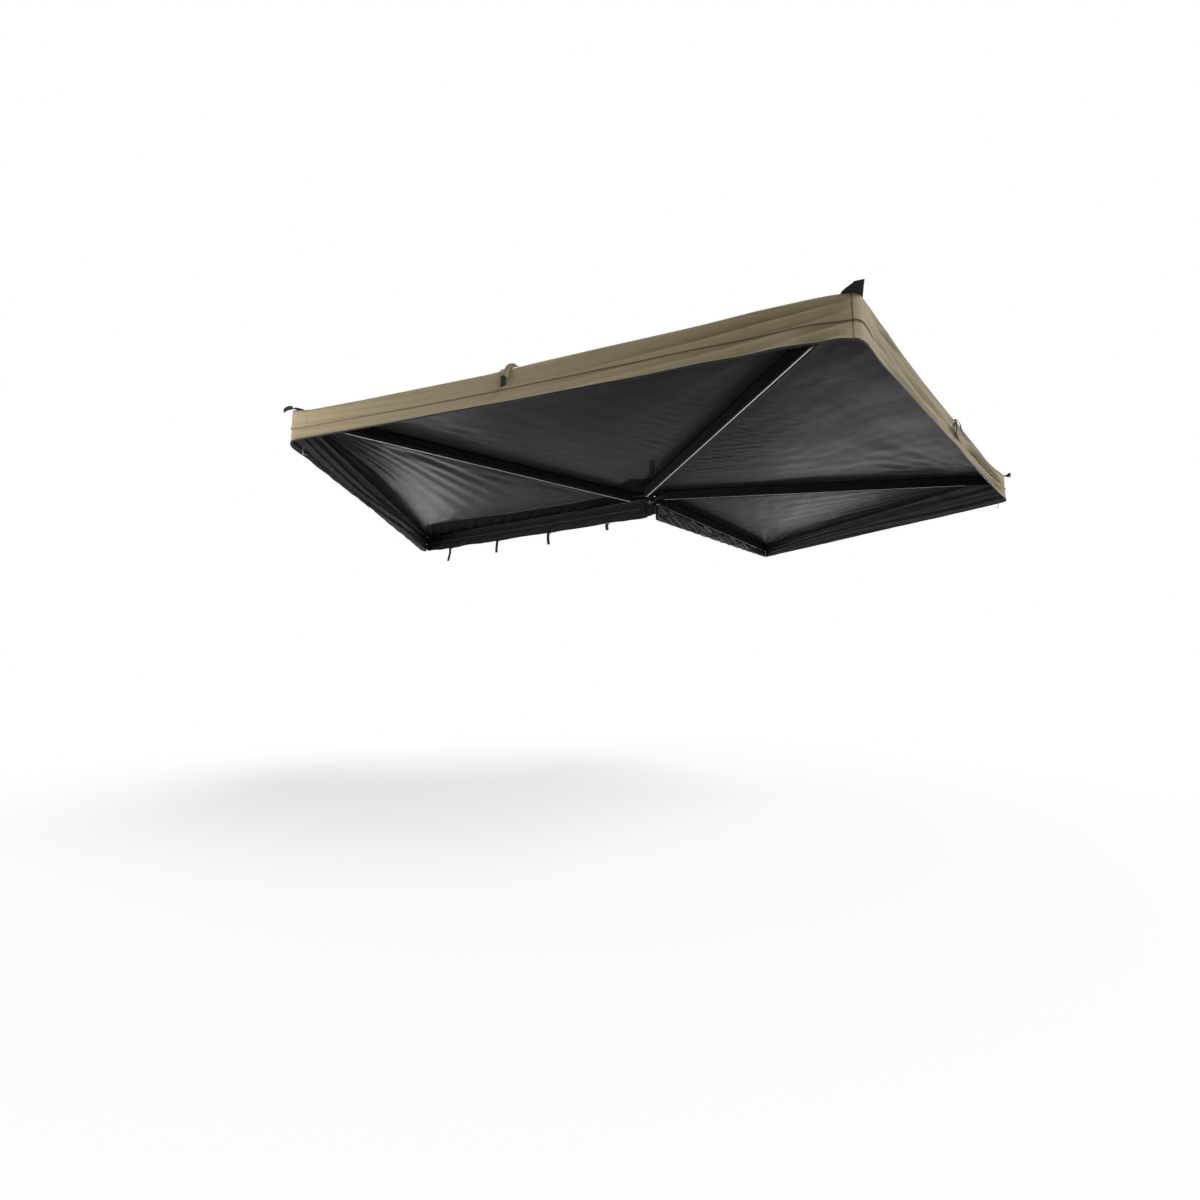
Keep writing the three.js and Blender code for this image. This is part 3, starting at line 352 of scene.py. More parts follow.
def fan_fold(piece):
    """Bakes the piece's transform into its mesh and reads its points, which nothing uses further."""
    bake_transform(piece)
    count = len(piece.data.vertices)
    points = np.empty(3 * count)
    piece.data.vertices.foreach_get("co", points)


# Materials, all of nodes. Blender's wave texture counts 20 radians to a metre at a scale of 1.
WAVE_TEXTURE_RADIANS = 20.0
STITCH_SHARE = 0.66
STITCH_HEIGHT = 0.0005


def add_node(tree, kind, inputs=None, **settings):
    made = tree.nodes.new(kind)
    for name, value in settings.items():
        setattr(made, name, value)
    for socket, value in (inputs or {}).items():
        if isinstance(value, bpy.types.NodeSocket):
            tree.links.new(value, made.inputs[socket])
        else:
            made.inputs[socket].default_value = value
    return made


class Finish:
    def __init__(self, name, colour, roughness, **settings):
        self.material = bpy.data.materials.new(name)
        self.material.use_nodes = True
        self.tree = self.material.node_tree
        self.shader = self.tree.nodes["Principled BSDF"]
        self.colour = self.node("ShaderNodeRGB").outputs[0]
        self.colour.default_value = (*colour, 1.0)
        self.roughness = roughness
        self.height = None
        for socket, value in settings.items():
            self.shader.inputs[socket.replace("_", " ")].default_value = value

    def node(self, kind, inputs=None, **settings):
        return add_node(self.tree, kind, inputs, **settings)

    def math(self, operation, first, second=0.0):
        return self.node("ShaderNodeMath", {0: first, 1: second}, operation=operation).outputs[0]

    def place(self, attribute, scale=(1.0, 1.0, 1.0), turn=0.0):
        """Coordinates in metres: a named attribute of cloth, or the object's own."""
        if attribute == "object":
            source = self.node("ShaderNodeTexCoord").outputs["Object"]
        else:
            source = self.node("ShaderNodeAttribute", attribute_name=attribute).outputs["Vector"]
        turned = self.node("ShaderNodeVectorRotate", {"Vector": source, "Angle": turn}).outputs[0]
        return self.node("ShaderNodeVectorMath", {0: turned, 1: scale}, operation="MULTIPLY").outputs[0]

    def part(self, attribute, index):
        return self.node("ShaderNodeSeparateXYZ", {0: self.place(attribute)}).outputs[index]

    def noise(self, vector, scale, detail=3.0):
        settings = {"Vector": vector, "Scale": scale, "Detail": detail}
        return self.node("ShaderNodeTexNoise", settings).outputs[0]

    def tint(self, factor, colour):
        settings = {0: factor, 6: self.colour, 7: (*colour, 1.0)}
        self.colour = self.node("ShaderNodeMix", settings, data_type="RGBA").outputs[2]

    def vary(self, factor, low, high):
        settings = {"Value": factor, "To Min": low, "To Max": high}
        self.roughness = self.node("ShaderNodeMapRange", settings).outputs[0]

    def roughen(self, factor, roughness):
        settings = {0: factor, 2: self.roughness, 3: roughness}
        self.roughness = self.node("ShaderNodeMix", settings, data_type="FLOAT").outputs[0]

    def raise_by(self, height, distance):
        settings = {"Height": height, "Distance": distance, "Strength": 1.0}
        if self.height is not None:
            settings["Normal"] = self.height
        self.height = self.node("ShaderNodeBump", settings).outputs[0]

    def weave(self, vector, pitch, distance):
        scale = math.tau / WAVE_TEXTURE_RADIANS / pitch
        inputs = {"Vector": vector, "Scale": scale}
        bands = [self.node("ShaderNodeTexWave", inputs, bands_direction=axis).outputs[1] for axis in "XY"]
        self.raise_by(self.math("MULTIPLY", *bands), distance)

    def stitches(self, offsets, thread, pitch=0.006, half=0.0011):
        step = self.math("FRACT", self.math("DIVIDE", self.part("seam", 1), pitch))
        dash = self.math("LESS_THAN", step, STITCH_SHARE)
        for offset in offsets:
            away = self.math("ABSOLUTE", self.math("SUBTRACT", self.part("seam", 0), offset))
            line = self.math("MULTIPLY", self.math("LESS_THAN", away, half), dash)
            self.tint(line, thread)
            self.raise_by(line, STITCH_HEIGHT)

    def done(self):
        ends = [(self.colour, "Base Color"), (self.roughness, "Roughness"), (self.height, "Normal")]
        for value, socket in ends:
            if isinstance(value, bpy.types.NodeSocket):
                self.tree.links.new(value, self.shader.inputs[socket])
            elif value is not None:
                self.shader.inputs[socket].default_value = value
        return self.material


def make_canvas():
    canvas = Finish("canvas", (0.262, 0.21, 0.124), 0.85, Specular_IOR_Level=0.2, Sheen_Weight=0.04)
    place = canvas.place("cloth")
    canvas.tint(canvas.noise(place, 5.0, 4.0), (0.216, 0.169, 0.096))
    canvas.tint(canvas.math("MULTIPLY", canvas.noise(place, 260.0, 2.0), 0.35), (0.32, 0.266, 0.166))
    slubs = canvas.noise(canvas.place("cloth", (30.0, 700.0, 1.0)), 1.0, 1.0)
    canvas.tint(canvas.math("MULTIPLY", slubs, 0.22), (0.165, 0.127, 0.07))
    canvas.vary(canvas.noise(place, 30.0), 0.78, 0.92)
    canvas.raise_by(canvas.noise(place, 22.0, 3.0), 0.0022)
    canvas.raise_by(canvas.noise(canvas.place("cloth", (1.6, 30.0, 1.0)), 1.0, 4.0), 0.003)
    canvas.weave(place, 0.0022, 0.00025)
    # Dark dashed seam lines: thread, darkened so that it also paints the shade in each seam's fold.
    canvas.stitches([0.0], (0.05, 0.037, 0.02), half=0.0019)
    return canvas.done()


def make_lining():
    lining = Finish("lining", (0.0092, 0.0083, 0.0079), 0.4, Specular_IOR_Level=0.024)
    place = lining.place("cloth")
    lining.tint(lining.noise(place, 3.0, 4.0), (0.017, 0.0156, 0.0149))
    lining.vary(lining.noise(place, 5.0, 2.0), 0.28, 0.38)
    # Black cloth of the bands, the rail strip and the hub patch; round the hub it is partly painted shade.
    black = lining.math("LESS_THAN", lining.part("seam", 0), 0.0)
    lining.tint(black, (0.0038, 0.0037, 0.0042))
    lining.roughen(black, 0.8)
    lining.raise_by(lining.noise(place, 12.0, 2.0), 0.0008)
    streaks = lining.noise(lining.place("cloth", (1.0, 7.0, 1.0)), 8.0, 1.0)
    lining.raise_by(streaks, 0.0005)
    lining.weave(place, 0.0024, 0.00012)
    lining.stitches([-0.009, -0.013], (0.045, 0.043, 0.042), half=0.0014)
    return lining.done()


def make_black_cloth(name, colour, attribute="cloth", gloss=0.06, rough=(0.55, 0.8)):
    cloth = Finish(name, colour, 0.8, Specular_IOR_Level=gloss)
    place = cloth.place(attribute)
    cloth.tint(cloth.noise(place, 8.0, 4.0), tuple(2.2 * share for share in colour))
    cloth.vary(cloth.noise(place, 24.0), *rough)
    cloth.raise_by(cloth.noise(place, 26.0, 4.0), 0.003)
    cloth.weave(place, 0.0026, 0.0003)
    if attribute == "cloth":
        cloth.stitches([0.0, 0.006], (0.04, 0.039, 0.038))
    return cloth.done()


def make_webbing():
    webbing = Finish("webbing", (0.007, 0.0068, 0.0072), 0.75, Specular_IOR_Level=0.2, Sheen_Weight=0.04)
    place = webbing.place("cloth")
    webbing.tint(webbing.noise(place, 60.0), (0.017, 0.016, 0.017))
    webbing.weave(webbing.place("cloth", (1.0, 0.45, 1.0)), 0.0022, 0.0005)
    webbing.stitches([0.002], (0.04, 0.039, 0.038), pitch=0.004)
    return webbing.done()


def make_aluminium(name, heading):
    metal = Finish(name, (0.72, 0.712, 0.69), 0.34, Metallic=1.0)
    lengthways = metal.place("object", (3.0, 420.0, 420.0), turn=-math.radians(heading))
    grain = metal.noise(lengthways, 1.0, 3.0)
    metal.tint(metal.math("MULTIPLY", grain, 0.5), (0.52, 0.515, 0.5))
    metal.vary(grain, 0.24, 0.46)
    metal.raise_by(grain, 0.00012)
    return metal.done()


def make_hard(name, colour, worn, patches, wear, grain, **settings):
    """Metal or plastic. Patches has a scale and detail, wear a scale and range of roughness, and grain
    a scale, detail and height."""
    finish = Finish(name, colour, wear[1], **settings)
    place = finish.place("object")
    finish.tint(finish.noise(place, *patches), worn)
    finish.vary(finish.noise(place, wear[0]), *wear[1:])
    finish.raise_by(finish.noise(place, *grain[:2]), grain[2])
    return finish.done()


CANVAS = make_canvas()
LINING = make_lining()
HEAVY = make_black_cloth("heavy_cloth", (0.004, 0.0039, 0.0043))
BAG_CLOTH = make_black_cloth("bag_cloth", (0.0054, 0.0054, 0.0063))
INNER_CLOTH = make_black_cloth("inner_cloth", (0.0125, 0.0123, 0.0134), gloss=0.16, rough=(0.38, 0.58))
FLAP_CLOTH = make_black_cloth("flap_cloth", (0.015, 0.0148, 0.0161), gloss=0.45, rough=(0.22, 0.34))
PIPING = make_black_cloth("piping", (0.03, 0.0296, 0.031), "object")
WEBBING = make_webbing()
BLACK_METAL = make_hard("black_metal", (0.0046, 0.0046, 0.005), (0.009, 0.009, 0.01), (12.0, 5.0),
                        (40.0, 0.4, 0.62), (900.0, 2.0, 0.00015), Specular_IOR_Level=0.12)
STEEL = make_hard("steel", (0.33, 0.33, 0.325), (0.19, 0.186, 0.176), (130.0, 4.0),
                  (300.0, 0.26, 0.5), (1400.0, 3.0, 0.00008), Metallic=1.0)
PLASTIC = make_hard("plastic", (0.008, 0.008, 0.0086), (0.015, 0.015, 0.016), (40.0, 3.0),
                    (200.0, 0.46, 0.66), (1600.0, 1.0, 0.0001), Specular_IOR_Level=0.3)
RAIL_METAL = make_aluminium("rail_aluminium", 180.0)
ARM_METALS = [
    make_aluminium(f"arm_{number}_aluminium", 180.0 + angle) for number, angle in enumerate(ARM_ANGLES, 1)
]


# Canopy panels: dark lining below, canvas above, black bands of doubled cloth beside the arms.
PUCKER_DEPTH = 0.0016
PUCKER_CHANGE = 0.0012
PUCKER_HALF = 0.004
STRIP_PIPING_ROWS = slice(24, -2, 2)
STRIP_PIPING_DROP = 0.0012
STRIP_PIPING_RADIUS = 0.003
BAND_COLUMNS = 8
INNER_COLUMNS = 150
INNER_ROWS = 10
PANEL_ROWS = 190
STRIP_SLACK = 0.012
STRIP_FOLDS = 0.011

# Ripples all over each panel: height, seed, length.
PANEL_WAVES = [(0.0014, 40, 0.42), (0.0004, 45, 0.11)]
# Folds that fan out from a corner: height, corner, towards, seed, spacing, near, reach.
PANEL_RAYS = {
    1: [(0.0056, corner(1), (-1.4, -0.5), 11, 9.0, 0.5, 1.15),
        (0.004, RAIL_CORNER, (-0.9, -0.7), 12, 12.0, 0.3, 0.6)],
    2: [(0.0026, corner(2), HUB, 22, 10.0, 0.3, 0.55)],
    3: [(0.0042, corner(3), HUB, 33, 9.0, 0.35, 0.85), (0.0006, corner(2), HUB, 34, 11.0, 0.35, 0.6)],
    4: [(0.0052, corner(3), (0.9, 1.1), 41, 7.0, 0.45, 1.3),
        (0.004, corner(4), (1.0, 1.0), 43, 9.0, 0.3, 0.55)],
}
# Ripples beside an arm: height, seed, length, heading, spread, the arm or seam that they lie at, the
# distances from it at which they are gone and full, and the same two for the distance from the hub.
EVERYWHERE = (9.0, 8.0)
PANEL_RIPPLES = {
    1: [(0.0024, 13, 0.14, 160.0, 14.0, "seam", (0.55, 0.1), EVERYWHERE)],
    2: [(0.0012, 21, 0.07, -35.0, 26.0, "second", (0.5, 0.06), (1.9, 1.2)),
        (0.0013, 23, 0.09, 160.0, 28.0, "first", (0.5, 0.06), EVERYWHERE)],
    3: [(0.0013, 31, 0.056, -62.0, 24.0, "first", (0.55, 0.05), (1.6, 0.9)),
        (0.002, 32, 0.15, 110.0, 11.0, "second", (0.9, 0.05), EVERYWHERE)],
    4: [(0.0022, 42, 0.055, 85.0, 8.0, "second", (0.26, 0.1), EVERYWHERE),
        (0.0008, 44, 0.15, 25.0, 16.0, "seam", EVERYWHERE, EVERYWHERE)],
}


def across_places(width):
    """Distance of each column from the first side, in rows of equal width beside both sides."""
    band = np.minimum(BAND_WIDTH, width / 3.0)[:, None]
    near = np.linspace(0.0, 1.0, BAND_COLUMNS + 1)[None, :-1]
    middle = np.linspace(0.0, 1.0, INNER_COLUMNS + 1)[None, :]
    far = np.linspace(0.0, 1.0, BAND_COLUMNS + 1)[None, 1:]
    inside = width[:, None] - 2.0 * band
    return np.concatenate([near * band, band + middle * inside, band + inside + far * band], 1), band


def arm_side(number, x, y):
    """How far to the left of an arm a point lies."""
    left = left_of(direction(ARM_ANGLES[number - 1]))
    return x * left[0] + y * left[1] - ARM_OFFSETS[number - 1]


def beside(number, side, x, y, near_b):
    """How far a point of a panel lies from its first or second arm, or from its second seam."""
    if side == "seam":
        return near_b
    return arm_side(number - 1, x, y) if side == "first" else -arm_side(number, x, y)


def strip_width(x):
    return np.interp(x, STRIP_PLACES, STRIP_WIDTHS)


def strip_relief(x, y):
    """The black strip along the rail hangs slack between the rail and its upper seam."""
    gap = RAIL_Y - y
    share = np.clip(gap / strip_width(x), 0.0, 1.0)
    slack = np.sin(math.pi * share) * smooth(0.02, 0.1, gap) * smooth(0.28, 0.5, np.hypot(x, y))
    folds = 0.5 + 0.5 * waves(x + 0.9 * y, y, 14, 0.105, 12.0, 16.0)
    return slack * (STRIP_SLACK + STRIP_FOLDS * np.clip(folds, -0.3, 1.3)) * smooth(-2.22, -2.05, x)


def panel_relief(number, x, y, near_a, near_b):
    """How far the cloth of one panel lies below its plane, folds and ripples included."""
    radius = np.hypot(x, y)
    open_cloth = smooth(0.055, 0.16, near_a) * smooth(0.055, 0.16, near_b) * smooth(0.25, 0.55, radius)
    relief = 0.0 * x
    for height, seed, length in PANEL_WAVES:
        relief += height * waves(x, y, seed + number, length, 30.0, 90.0)
    for height, *fan in PANEL_RAYS[number]:
        relief += height * rays(x, y, *fan)
    for height, seed, length, heading, spread, side, fade, outer_fade in PANEL_RIPPLES[number]:
        ripples = height * waves(x, y, seed, length, heading, spread)
        fading = smooth(*fade, beside(number, side, x, y, near_b)) * smooth(*outer_fade, radius)
        relief += ripples * fading
    return relief * open_cloth


def black_distance(number, x, y, near_a, near_b, band):
    """How far a point lies from the black cloth, below 0 on it. Round the hub the black is partly painted
    shade.
    """
    radius = np.hypot(x, y)
    first = near_a - band
    if number == 1:
        first = (RAIL_Y - y) - strip_width(x)
    second = near_b - band
    if number == 4:
        teeth = 0.02 * np.abs(waves(radius, 0.0 * radius, 46, 0.045, 0.0, 10.0))
        rear_band = REAR_BAND_WIDTH * smooth(*REAR_BAND_FADE, radius)
        second = REAR_BAND_SHARPNESS * (near_b - rear_band - teeth)
    # The patch round the hub: partly black cloth, partly painted shade near the hub.
    patch = radius - HUB_PATCH_AND_SHADE_RADII[number]
    if number == 2:
        strap = np.abs(x * HUB_STRAP[1] + y * HUB_STRAP[0]) - HUB_STRAP_HALF + (radius > HUB_STRAP_REACH)
        patch = np.minimum(patch + 0.02 * waves(x, y, 47, 0.16, 40.0, 60.0), strap)
    return np.minimum(np.minimum(first, second), patch)


def make_panel(number):
    low, high = edge_line(number - 1), edge_line(number)
    inner_rows = np.linspace(0.0, INNER_SHARE, INNER_ROWS)[:-1]
    rows = np.concatenate([inner_rows, np.linspace(INNER_SHARE, 1.0, PANEL_ROWS)])
    a, b = along_line(low, rows), along_line(high, rows)
    spread = b - a
    width = np.linalg.norm(spread, axis=1)
    steps, band = across_places(width)
    plan = a[:, None] + spread[:, None] / width[:, None, None] * steps[..., None]
    plan = round_corners(plan, 0.0)
    x, y = plan[..., 0], plan[..., 1]
    near_a, near_b = steps, width[:, None] - steps
    inside = np.clip((steps - band) / np.maximum(width[:, None] - 2.0 * band, 1e-4), 0.0, 1.0)
    outwards = np.clip((rows - INNER_SHARE) / (1.0 - INNER_SHARE), 0.0, 1.0)[:, None]
    drop = PANEL_SAG * 4.0 * inside * (1.0 - inside) * np.sin(math.pi * outwards)
    to_edge = smooth(0.0, 0.055, 1.0 - outwards)
    drop += panel_relief(number, x, y, near_a, near_b) * to_edge
    if number == 1:
        drop += strip_relief(x, y) * to_edge
    lift = lift_at(EDGE_LIFTS, number, near_a / width[:, None]) * smooth(0.8, 1.0, outwards)
    drop -= lift
    black = black_distance(number, x, y, near_a, near_b, band)
    column = np.arange(steps.shape[1])
    piped = (column == BAND_COLUMNS) | (column == steps.shape[1] - 1 - BAND_COLUMNS)
    pucker = PUCKER_DEPTH + PUCKER_CHANGE * np.sin(2.1 * np.arange(len(rows)))
    pucker = pucker[:, None] * (np.abs(black) < PUCKER_HALF)
    under = drop + CLOTH_THICKNESS + np.where(piped[None, :], pucker, 0.0)
    top, bottom = stacked(x, y, -drop), stacked(x, y, -under)
    seam = (black, np.hypot(x, y))
    made = sheet_object(f"canopy_{number}", bottom, top, (x, y), seam, [LINING, CANVAS], 0, 1)
    fan_fold(made)
    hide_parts(f"canopy_panel_{number}")
    if number == 1:
        make_strip_piping(bottom)


def make_strip_piping(surface):
    """Grey piping sewn on where the black strip meets the lining."""
    path = []
    for row in surface[STRIP_PIPING_ROWS]:
        gap = RAIL_Y - row[:, 1] - strip_width(row[:, 0])
        place = np.interp(0.0, gap, np.arange(len(gap)))
        path.append([np.interp(place, np.arange(len(gap)), row[:, axis]) for axis in range(3)])
    made = tube_object("strip_piping", np.array(path) - STRIP_PIPING_DROP * UP, STRIP_PIPING_RADIUS, PIPING)
    fan_fold(made)


for number in ARMS:
    make_panel(number)


# The hanging border: canvas outside, black lining inside, a seam, a hem and its binding.
BORDER_COLUMNS = 260
SEAM_SHARE = 0.57
BELLIES = [0.009, 0.012, 0.004, 0.005]
CORNER_SEAM = 0.022
PATCH_END = 0.1
PATCH_HEIGHT = 0.0012
HEM_SEAM = 0.928
BINDING_START = 0.95
FIRST_SETBACK = 0.018
MITRE_RUN = 0.03
CORNER_TURN = 67.5
CORNER_FOLDS = 0.015
REAR_TUCK = 0.007
SEAM_LIFT = 0.0042
HEM_LIFT = 0.001
# Ripples along each border: height, squeeze along it, seed, length, heading, spread.
BORDER_RIPPLES = {
    1: [(0.0046, 0.12, 51, 0.05, 88.0, 12.0), (0.0018, 1.0, 61, 0.18, 20.0, 20.0)],
    2: [(0.0046, 0.16, 52, 0.045, 88.0, 10.0)],
    3: [(0.01, 0.14, 53, 0.05, 88.0, 12.0), (0.0036, 0.1, 63, 0.026, 88.0, 8.0)],
    4: [(0.0046, 0.12, 54, 0.05, 88.0, 12.0), (0.0018, 1.0, 64, 0.18, 20.0, 20.0)],
}
BORDER_ROWS = np.array([0.0, 0.02, 0.05, 0.1, 0.16, 0.22, 0.28, 0.34, 0.4, 0.46, 0.51, 0.545, 0.562, 0.57,
                        0.578, 0.6, 0.65, 0.71, 0.77, 0.83, 0.88, 0.905, 0.912, 0.945, 0.95, 0.975, 1.0])


def border_relief(number, u, v, length):
    """How far the border's canvas stands out from its plane."""
    share = u / length
    relief = 0.0016 * np.sin(math.pi * share) * v
    drift = 0.02 * np.sin(math.tau * share + number)
    height = v * BORDER_HEIGHT + drift
    rear = smooth(0.0, 0.1, share) * smooth(1.0, 0.9, share)
    for size, squeeze, *wave in BORDER_RIPPLES[number]:
        relief = relief + size * waves(u * squeeze, height, *wave) * (rear if number == 3 else 1.0)
    if number == 2:
        towards = smooth(0.52, 0.92, share) * smooth(1.0, 0.965, share)
        pitch = 0.032 + 0.15 * (1.0 - share)
        folds = np.sin(math.tau * (v * BORDER_HEIGHT + 0.004) / pitch) * (1.0 - v * 0.55)
        relief += CORNER_FOLDS * towards * folds
        held = 0.55 * np.exp(-(((v - SEAM_SHARE) / 0.1) ** 2)) + 0.5 * smooth(0.8, 1.0, v)
        relief *= 1.0 - held
    elif number == 3:
        relief = relief * (1.0 - 0.8 * smooth(0.8, 1.0, v)) - REAR_TUCK * rear
    ends = smooth(0.0, 0.05, u) * smooth(0.0, 0.05, length - u)
    belly = np.where(v < SEAM_SHARE, 1.0 - v / SEAM_SHARE, (v - SEAM_SHARE) / (1.0 - SEAM_SHARE))
    stand_off = 0.001 + BELLIES[number - 1] * belly * ends
    return relief * smooth(0.0, 0.1, v) * ends + stand_off * smooth(0.0, 0.08, v)


def border_seams(number, u, v, length, height):
    """Distance to the nearest seam, and the run along it."""
    level = np.minimum(np.abs(v - SEAM_SHARE), np.abs(v - HEM_SEAM)) * BORDER_HEIGHT
    if number != 2:
        return level, u
    upper = 1.0 + 9.0 * (v > SEAM_SHARE)
    upright = np.minimum(np.abs(length - u - CORNER_SEAM), np.abs(u - PATCH_END) * upper)
    return np.minimum(level, upright), np.where(upright < level, v * height, u)


def make_border(number):
    start, length, along, outward = edge_directions(number)
    setback = FIRST_SETBACK if number == 1 else 0.0
    start, length = start + along * setback, length - setback
    ends = np.linspace(0.0, MITRE_RUN, 11)
    middle = np.linspace(0.036, length - 0.036, BORDER_COLUMNS)
    u = np.concatenate([ends, middle, (length - ends)[::-1]])[None, :]
    v = BORDER_ROWS[:, None]
    low, high = BORDER_ENDS[number - 1]
    share = u / length
    height = low + (high - low) * share
    top = lift_at(EDGE_LIFTS, number, share) + 0.0008
    hem = lift_at(HEM_LIFTS, number, share) - height
    relief = border_relief(number, u, v, length)
    seam_lift = SEAM_LIFT * smooth(0.46, 0.562, v) * (1.0 - smooth(SEAM_SHARE, 0.578, v))
    hem_lift = HEM_LIFT * smooth(0.905, 0.912, v) + HEM_LIFT * smooth(0.945, BINDING_START, v)
    out = 0.0001 + relief + seam_lift + hem_lift
    if number == 4:
        out *= smooth(0.0, 0.012, length - u)
    if number == 2:
        patch = 1.0 - smooth(PATCH_END - 0.004, PATCH_END, u)
        patch = np.maximum(patch, smooth(CORNER_SEAM + 0.003, CORNER_SEAM, length - u))
        out += PATCH_HEIGHT * patch * smooth(0.05, 0.1, v) * (1.0 - smooth(0.51, 0.545, v))
    turn = math.tan(math.radians(CORNER_TURN / 2.0))
    mitre_start = 0.0 if number == 1 else -turn
    mitre_end = 0.0 if number == 4 else turn
    mitre = mitre_start * (1.0 - smooth(0.0, MITRE_RUN, u))
    mitre += mitre_end * (1.0 - smooth(0.0, MITRE_RUN, length - u))

    def surface(offset):
        plan = start + along * (u + mitre * offset)[..., None] + outward * offset[..., None]
        plan = round_corners(plan, offset)
        return stacked(plan[..., 0], plan[..., 1], top + (hem - top) * v)

    outer, inner = surface(out + CLOTH_THICKNESS), surface(out)
    seam = border_seams(number, u, v, length, height)
    bound = v[1:] > BINDING_START
    front, back = np.where(bound, 2, 0), np.where(bound, 2, 1)
    finishes = [CANVAS, INNER_CLOTH, WEBBING]
    made = sheet_object(f"border_{number}", outer, inner, (u, height * v), seam, finishes, front, back)
    fan_fold(made)
    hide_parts(f"valance_{number}")


for number in ARMS:
    make_border(number)


# The black flap along the free edge hangs beside the last arm.
FLAP_SETBACK = 0.001
FLAP_HEIGHT = 0.1
FLAP_GROWTH = 0.06
FLAP_REACH = 0.013
FLAP_HEM = 0.91


def make_edge_flap():
    line = edge_line(4)
    along = (line[1] - line[2]) / np.linalg.norm(line[1] - line[2])
    start = line[2] + along * FLAP_SETBACK
    length = float(np.linalg.norm(line[1] - start))
    outward = -left_of(along)
    u = np.linspace(0.0, length, 300)[None, :]
    v = np.linspace(0.0, 1.0, 30)[:, None]
    height = FLAP_HEIGHT + FLAP_GROWTH * u / length
    share = u / length
    relief = 0.005 + 0.0042 * waves(u * 0.42, v * height, 71, 0.04, 62.0, 30.0)
    relief += 0.0026 * waves(u, v * height, 72, 0.085, 35.0, 40.0)
    relief = relief * smooth(0.0, 0.22, v) * np.sin(math.pi * np.clip(share, 0.02, 0.98)) ** 0.4
    hem = 0.0014 * smooth(0.9, 0.92, v)
    offset = (0.0004 + np.clip(relief, 0.0, FLAP_REACH) + hem) * smooth(0.0, 0.035, u)

    def surface(extra):
        plan = start + along * u[..., None] + outward * (offset + extra)[..., None]
        return stacked(plan[..., 0], plan[..., 1], -height * v)

    outer, inner = surface(CLOTH_THICKNESS), surface(0.0)
    seam = (np.abs(v - FLAP_HEM) * 0.13, u)
    finishes = [INNER_CLOTH, FLAP_CLOTH]
    made = sheet_object("edge_flap_cloth", outer, inner, (u, height * v), seam, finishes, 0, 1)
    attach(made, "arm_4")
    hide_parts("edge_flap")


make_edge_flap()


# Sleeves: black cloth round each arm that leaves a bright strip bare below.
SLEEVE_CLOTH = 0.0012
SLEEVE_SETBACK = 0.018
SLEEVE_SLIT = 0.0004
SLEEVE_RUN = 0.006
SLEEVE_PUFF = 0.0011
SLEEVE_PUFF_ENDS = (-0.0004, 0.0005)
SLEEVE_LEVELS = [SLEEVE_BOTTOM, SLEEVE_BOTTOM + 0.004, -0.046, -0.038, -0.03, -0.022, -0.014, -0.007,
                 SLEEVE_TOP]


def make_sleeve(number):
    end = ARM_ENDS[number - 1]
    reach = np.linspace(SLEEVE_START, end - SLEEVE_SETBACK, 200)[:, None]
    closed = smooth(end - 0.185, end - 0.15, reach)
    lip = SLEEVE_LIPS[number - 1] * (1.0 - closed) + SLEEVE_SLIT * closed
    z = np.array([SLEEVE_BOTTOM, *SLEEVE_LEVELS, SLEEVE_TOP])
    share = np.array([0.0, *[1.0 for _ in SLEEVE_LEVELS], 0.5])
    z, share = np.concatenate([z, z[::-1]]), np.concatenate([share, -share[::-1]])
    lips = np.zeros(len(z))
    lips[0], lips[-1] = 1.0, -1.0
    wall = np.abs(share) == 1.0
    run = SLEEVE_RUN * np.arange(len(z))
    up_side = np.sin(math.pi * (z - SLEEVE_BOTTOM) / (SLEEVE_TOP - SLEEVE_BOTTOM))
    puff = SLEEVE_PUFF * up_side * wall * waves(reach, z + run, 80 + number, 0.07, 25.0, 40.0)
    puff = np.clip(puff, *SLEEVE_PUFF_ENDS)
    outwards = np.where(share < 0.0, -1.0, 1.0)
    side = share * SLEEVE_HALF + lips * lip

    def placed(side, z):
        plan = arm_place(number, reach[:, 0], ARM_OFFSETS[number - 1])[:, None]
        plan = plan + side[..., None] * left_of(direction(ARM_ANGLES[number - 1]))
        return stacked(plan[..., 0], plan[..., 1], z)

    outer = placed(side + outwards * puff, z)
    lining = SLEEVE_CLOTH * ((z == SLEEVE_BOTTOM) * 1.0 - (z == SLEEVE_TOP))
    inner = placed(side - outwards * SLEEVE_CLOTH * wall, z + lining)
    run += SLEEVE_RUN
    seam = (np.abs(run - 0.018), reach)
    made = sheet_object(f"sleeve_{number}", outer, inner, (reach, run), seam, [HEAVY])
    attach(made, f"arm_{number}")
    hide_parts(f"arm_{number}_sleeve")


for number in ARMS:
    make_sleeve(number)


# The open storage bag: a liner on the backbone and a slack pouch below it, edged with piping.
BAG_FRONT = 2.232
BAG_REAR = 0.089
BAG_SEAM_HEIGHT = -0.066
BAG_SWELL = 0.006
BAG_POUCH_TOP = -0.062
BAG_MIDDLE = (0.0, 0.116, -0.095)
BAG_PULL = (0.0, 0.06, 0.05)
BAG_PROFILE = [(0.1035, -0.0045), (0.1032, -0.03), (0.103, -0.048), (0.1022, -0.064), (0.1014, -0.076),
               (0.1012, -0.088), (0.1014, -0.1), (0.1026, -0.112), (0.106, -0.122), (0.112, -0.1285),
               (0.12, -0.129), (0.1275, -0.122), (0.132, -0.11), (0.1345, -0.098), (0.1335, -0.086),
               (0.128, -0.074), (0.118, -0.066), (0.109, -0.0642)]


